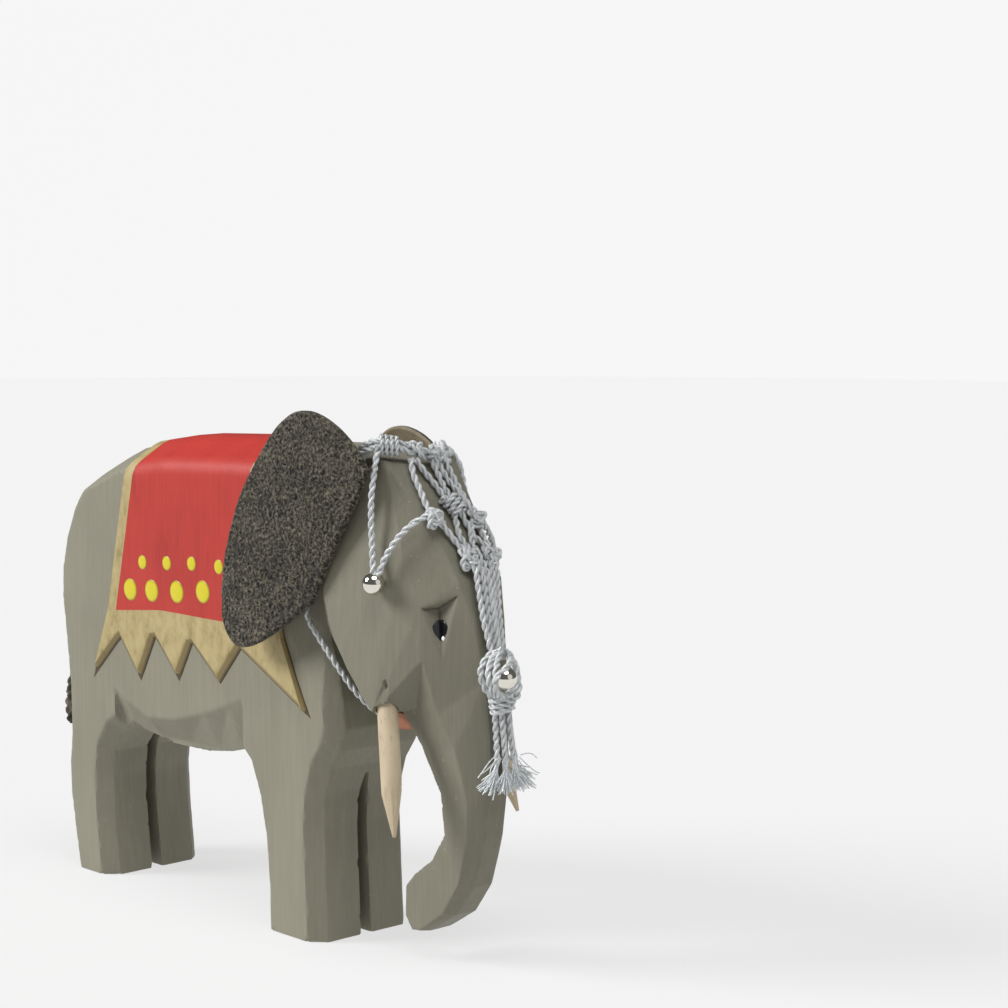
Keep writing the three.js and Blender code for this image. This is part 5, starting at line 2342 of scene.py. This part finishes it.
    def net_cords(self, yarn: bpy.types.Material) -> list[bpy.types.Object]:
        """Make the five cords of the net and the knots that join them.

        Args:
            yarn: the cord's finish.

        Returns:
            The pieces.
        """
        names = (
            "net_cord_right", "net_cord_centre_right", "net_cord_centre", "net_cord_centre_left",
            "net_cord_left",
        )
        stands_for = (
            ("crown_cord_right", "net_cord_right_low"),
            ("crown_cord_centre_right", "net_cord_centre_right"),
            ("crown_cord_centre_left", "net_cord_centre_left"),
            ("crown_cord_left",),
            ("net_cord_left_low", "trunk_bundle"),
        )
        made = []
        for name, nodes, forehead, trunk in zip(names, stands_for, self.net, self.trunk_runs):
            route = np.vstack([[on_forehead(*p) for p in forehead], trunk])
            shell = Shell()
            centre = self.maker.lay(shell, route, phase=len(made) * 0.9)
            cord = shell.mesh_object(name + "_laid", [yarn])
            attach(cord, "root")
            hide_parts(*nodes)
            made.append(cord)
        made += [self.knot(*spec, yarn) for spec in self.knots]
        made.append(self.bound_knot(yarn))
        return made

    def knot(
        self, node: str, down: float, y: float, size: float, spin: float, yarn: bpy.types.Material,
    ) -> bpy.types.Object:
        """Make one overhand knot of the net.

        Args:
            node: the CAD node that it stands for.
            down: its place down the forehead.
            y: its place sideways.
            size: half its width.
            spin: how far it is turned.
            yarn: its finish.

        Returns:
            The piece.
        """
        shell = Shell()
        centre = on_forehead(down, y, 3.0)
        self.maker.lay(shell, trefoil(centre, FOREHEAD_OUT, FOREHEAD_DOWN, size, 1.3, spin), 2.15)
        self.maker.lay(
            shell,
            trefoil(centre + FOREHEAD_OUT * 0.9, FOREHEAD_OUT, FOREHEAD_DOWN, size * 0.72, 1.2, spin + 1.1),
            2.0,
            phase=1.0,
        )
        if node in self.brow_ends:
            self.maker.lay(shell, np.array(self.brow_ends[node]))
        made = shell.mesh_object(node + "_tied", [yarn])
        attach(made, "root")
        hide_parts(node)
        return made

    def bound_knot(self, yarn: bpy.types.Material) -> bpy.types.Object:
        """Make the middle knot, where one cord is wound round its neighbours.

        Args:
            yarn: the cord's finish.

        Returns:
            The piece.
        """
        shell = Shell()
        start, end = on_forehead(14.6, -1.4, 2.7), on_forehead(21.4, 1.8, 2.7)
        self.maker.lay(shell, winding(start, end, 2.5, 3.6), 2.0)
        made = shell.mesh_object("knot_centre_bound", [yarn])
        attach(made, "root")
        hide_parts("knot_centre")
        return made

    def side_loop(self, side: Side, yarn: bpy.types.Material) -> bpy.types.Object:
        """Make one cord that hangs down the cheek, through its bead and up to the brow.

        Args:
            side: the cheek.
            yarn: the cord's finish.

        Returns:
            The piece.
        """
        low = np.array(self.loop_bead)
        turn = [low + [-0.9, 0.6, 3.4], low + [-0.3, 0.1, 0.6], low + [0.5, 0.1, 0.6], low + [1.3, 0.6, 3.2]]
        route = np.vstack([self.loop_down, turn, self.loop_up])
        if side is Side.LEFT:
            route = np.vstack([self.left_loop_down, mirrored(turn, side), self.left_loop_up])
        shell = Shell()
        centre = self.maker.lay(shell, route)
        word = side.word
        made = shell.mesh_object(f"side_loop_{word}_cord", [yarn])
        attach(made, f"side_loop_{word}")
        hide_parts(f"side_cord_rear_{word}", f"side_cord_front_{word}")
        return made

    def trunk_pieces(self, yarn: bpy.types.Material) -> list[bpy.types.Object]:
        """Make the large knot on the trunk and the tassel under it.

        Args:
            yarn: the cord's finish.

        Returns:
            The pieces.
        """
        shell = Shell()
        for k, loop in enumerate(self.knot_loops):
            self.maker.lay(shell, np.array(loop), 2.3, phase=k * 0.8)
        self.maker.lay(
            shell, winding(np.array([143.6, -3.0, 98.2]), np.array([144.2, -2.4, 91.8]), 3.5, 3.3, 1.0),
            2.1,
        )
        made = shell.mesh_object("trunk_knot_tied", [yarn])
        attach(made, "root")
        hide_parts("trunk_knot")
        return [made, self.tassel(yarn), self.frayed_ends(yarn)]

    knot_loops: tuple[tuple[tuple[float, float, float], ...], ...] = (
        (
            (140.6, -3.2, 112.0), (140.8, -7.6, 109.4), (141.0, -9.6, 105.2), (141.6, -8.2, 100.2),
            (142.6, -5.2, 96.4), (143.6, -1.2, 94.6), (143.4, 2.6, 96.4), (142.4, 3.8, 100.8),
            (141.6, 2.6, 106.0),
        ),
        (
            (141.8, -2.6, 112.4), (142.6, -6.2, 109.6), (143.2, -8.0, 105.0), (144.2, -6.8, 99.8),
            (145.6, -3.6, 96.0), (146.4, 0.4, 95.6), (145.8, 3.4, 98.6), (144.6, 4.0, 103.0),
        ),
        (
            (142.6, -1.6, 113.0), (144.2, -4.2, 110.6), (146.6, -7.4, 108.4), (148.2, -9.6, 104.8),
            (147.6, -8.6, 100.6), (146.4, -5.2, 97.4), (146.2, -1.0, 96.2),
        ),
        (
            (142.2, 0.4, 112.4), (143.4, 2.6, 109.0), (143.4, 4.6, 104.6), (142.6, 4.4, 99.6),
            (142.2, 2.0, 95.4),
        ),
        (
            (142.0, -3.4, 111.6), (143.4, -7.4, 108.6), (145.4, -10.2, 105.2), (145.6, -9.4, 101.0),
            (145.0, -6.4, 97.8), (144.8, -2.6, 96.2),
        ),
        (
            (143.4, 1.2, 110.8), (146.0, -0.6, 109.8), (148.8, -3.2, 109.4), (150.6, -7.0, 108.0),
            (149.8, -9.8, 105.6), (148.2, -9.8, 102.2), (147.4, -7.0, 99.0), (147.2, -3.4, 97.6),
        ),
        (
            (144.0, 2.4, 108.4), (146.2, 2.2, 105.2), (147.2, 0.6, 101.2), (147.0, -1.6, 98.2),
            (146.0, -3.4, 96.6),
        ),
    )
    tassel_cords: tuple[tuple[tuple[float, float, float], ...], ...] = (
        ((143.0, -5.0, 93.2), (143.2, -4.8, 86.6), (143.4, -4.5, 80.0), (143.6, -4.3, 74.4)),
        ((144.8, -3.6, 93.0), (145.2, -3.2, 86.0), (145.2, -2.7, 80.0), (145.3, -2.3, 74.0)),
        ((143.2, -2.2, 92.8), (143.4, -1.8, 86.0), (143.6, -1.0, 80.0), (143.8, -0.4, 74.2)),
        ((145.4, -1.0, 92.6), (145.8, -0.6, 86.0), (145.8, 0.2, 80.4), (145.9, 0.9, 74.6)),
        ((143.8, 0.4, 92.6), (144.0, 0.9, 86.0), (144.2, 1.8, 80.6), (144.4, 2.8, 74.8)),
    )

    def tassel(self, yarn: bpy.types.Material) -> bpy.types.Object:
        """Make the short cord ends that hang under the trunk knot.

        Args:
            yarn: the cord's finish.

        Returns:
            The piece.
        """
        shell = Shell()
        for k, route in enumerate(self.tassel_cords):
            self.maker.lay(shell, np.array(route), 2.2, phase=k * 1.1)
        made = shell.mesh_object("tassel_cord_ends", [yarn])
        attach(made, "tassel")
        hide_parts("tassel")
        return made

    def frayed_ends(self, yarn: bpy.types.Material) -> bpy.types.Object:
        """Make the loose threads into which the cord ends fray.

        Args:
            yarn: the threads' finish.

        Returns:
            The piece.
        """
        rng = np.random.default_rng(41)
        points: list[np.ndarray] = []
        edges: list[tuple[int, int]] = []

        def thread(route: np.ndarray) -> None:
            """Add one thread as a polyline.

            Args:
                route: the thread's points, in millimetres.
            """
            line = at(smooth_path(route, 0.7))
            base = len(points)
            points.extend(line)
            edges.extend((base + i, base + i + 1) for i in range(len(line) - 1))

        for route in self.tassel_cords:
            end = np.array(route[-1])
            lean = (end - np.array([144.6, -1.6, 75.0])) * 0.8
            for _ in range(64):
                spread = rng.normal(0, 1.0, 3) * [0.8, 1.1, 0.0] + lean * [0.4, 1.0, 0]
                length = rng.uniform(5.0, 10.0)
                curl = rng.normal(0, 0.8, 3)
                thread(
                    np.array([
                        end + rng.normal(0, 0.45, 3) + [0, 0, 2.0],
                        end + spread * 0.3 + [0, 0, -length * 0.3],
                        end + spread * 0.8 + curl * 0.5 + [0, 0, -length * 0.65],
                        end + spread * 1.5 + curl + [0, 0, -length],
                    ])
                )
        strays = (
            ((143.8, -4.8, 77.4), (144.0, -8.0, 76.0), (144.0, -11.2, 73.2), (143.8, -13.4, 71.0)),
            ((143.8, -4.6, 76.4), (144.2, -7.4, 74.6), (144.4, -10.6, 73.0), (144.4, -13.0, 72.2)),
            ((143.8, -4.4, 75.4), (144.2, -6.6, 71.6), (144.0, -6.0, 67.6), (143.8, -7.8, 64.4)),
            ((143.8, -5.0, 76.0), (143.6, -7.6, 72.4), (143.4, -6.6, 69.0), (143.2, -4.4, 66.6)),
            ((145.0, 4.4, 75.6), (145.2, 8.0, 72.4), (145.2, 11.4, 69.8), (145.0, 13.6, 68.8)),
            ((145.0, 4.0, 74.6), (145.4, 7.4, 70.6), (145.2, 10.6, 69.2), (145.2, 12.4, 68.4)),
            ((145.2, 4.8, 76.4), (145.4, 7.6, 76.6), (145.6, 9.8, 76.0), (145.6, 11.8, 74.4)),
        )
        for stray in strays:
            thread(np.array(stray))
        mesh = bpy.data.meshes.new("thread_lines")
        mesh.from_pydata([tuple(p) for p in points], edges, [])
        feeder = bpy.data.objects.new("thread_lines", mesh)
        bpy.context.scene.collection.objects.link(feeder)
        tree = ThreadTree(yarn)
        values = {tree.radius.identifier: 0.2 * MM, tree.sides.identifier: 5}
        made = grown(feeder, tree.tree, values, "tassel_threads")
        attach(made, "tassel")
        return made


# ---------------------------------------------------------------- all together


@dataclass
class HiddenDowels:
    """The two pegs inside the neck joint, which stay as the CAD makes them."""

    nodes: tuple[str, ...] = ("neck_dowel_upper", "neck_dowel_lower")

    def build(self, beech: bpy.types.Material) -> list[bpy.types.Object]:
        """Give both dowels their finish.

        Args:
            beech: their finish.

        Returns:
            The dowels.
        """
        made = [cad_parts[n] for n in self.nodes]
        for dowel in made:
            dowel.data.materials.clear()
            dowel.data.materials.append(beech)
        return made


def surface_of(piece: bpy.types.Object) -> BVHTree:
    """Give a searchable copy of a piece's surface.

    Args:
        piece: a mesh object.

    Returns:
        Its surface.
    """
    shape = bmesh.new()
    shape.from_mesh(piece.data)
    tree = BVHTree.FromBMesh(shape)
    shape.free()
    return tree


def main() -> None:
    """Build the whole figure and report each piece."""
    logging.basicConfig(level=logging.INFO, format="%(name)s: %(message)s")
    Studio().build()
    yarn, nickel = SilverYarn().material(), PolishedNickel().material()
    pieces = Headdress().build(yarn, nickel)
    wood = StainedLime().material()
    pieces.append(BodyBlock().build(wood))
    # painted shade: the head takes a darker copy of the body's stained wood, standing for the shade that the
    # ears cast on it
    shaded_head_lime = StainedLime("#817e6e", "#797667", "#706d5f", name="stained_limewood_painted_shade")
    head = HeadBlock().build(shaded_head_lime.material())
    pieces.append(head)
    red = BrushedPaint("red_paint", "#b83830", "#b0332b", "#a02c25").material()
    cloth = SaddleCloth()
    pieces.append(cloth.build(AntiquedGoldWithPaintedShade().material(), red))
    pieces.append(ClothDots().build(PaintDot().material(), cloth.relief))
    suede, smooth_side = Suede().material(), GrainLeather().material()
    pieces += [LeatherEar(side).build(suede, smooth_side) for side in Side]
    beech = BareBeech().material()
    pieces += [Tusk(side).build(beech) for side in Side]
    salmon = BrushedPaint("salmon_paint", "#b57c62", "#a87056", "#96624b").material()
    pieces.append(LowerLip().build(salmon))
    pieces.append(
        Tail().build(GrainLeather("tail_leather", "#4f493c", "#2f2a21", "#6c6352", 0.85).material())
    )
    black, white = GlossEnamel(
        "black_enamel", "#0d0e12",
    ).material(), GlossEnamel("white_enamel", "#f4f6f6").material()
    surface = surface_of(head)
    pieces += [PaintedEye(side).build(black, white, surface) for side in Side]
    pieces += HiddenDowels().build(beech)
    for piece in pieces:
        LOG.info("%s: %d faces", piece.name, len(piece.data.polygons))


if __name__ == "__main__":
    main()
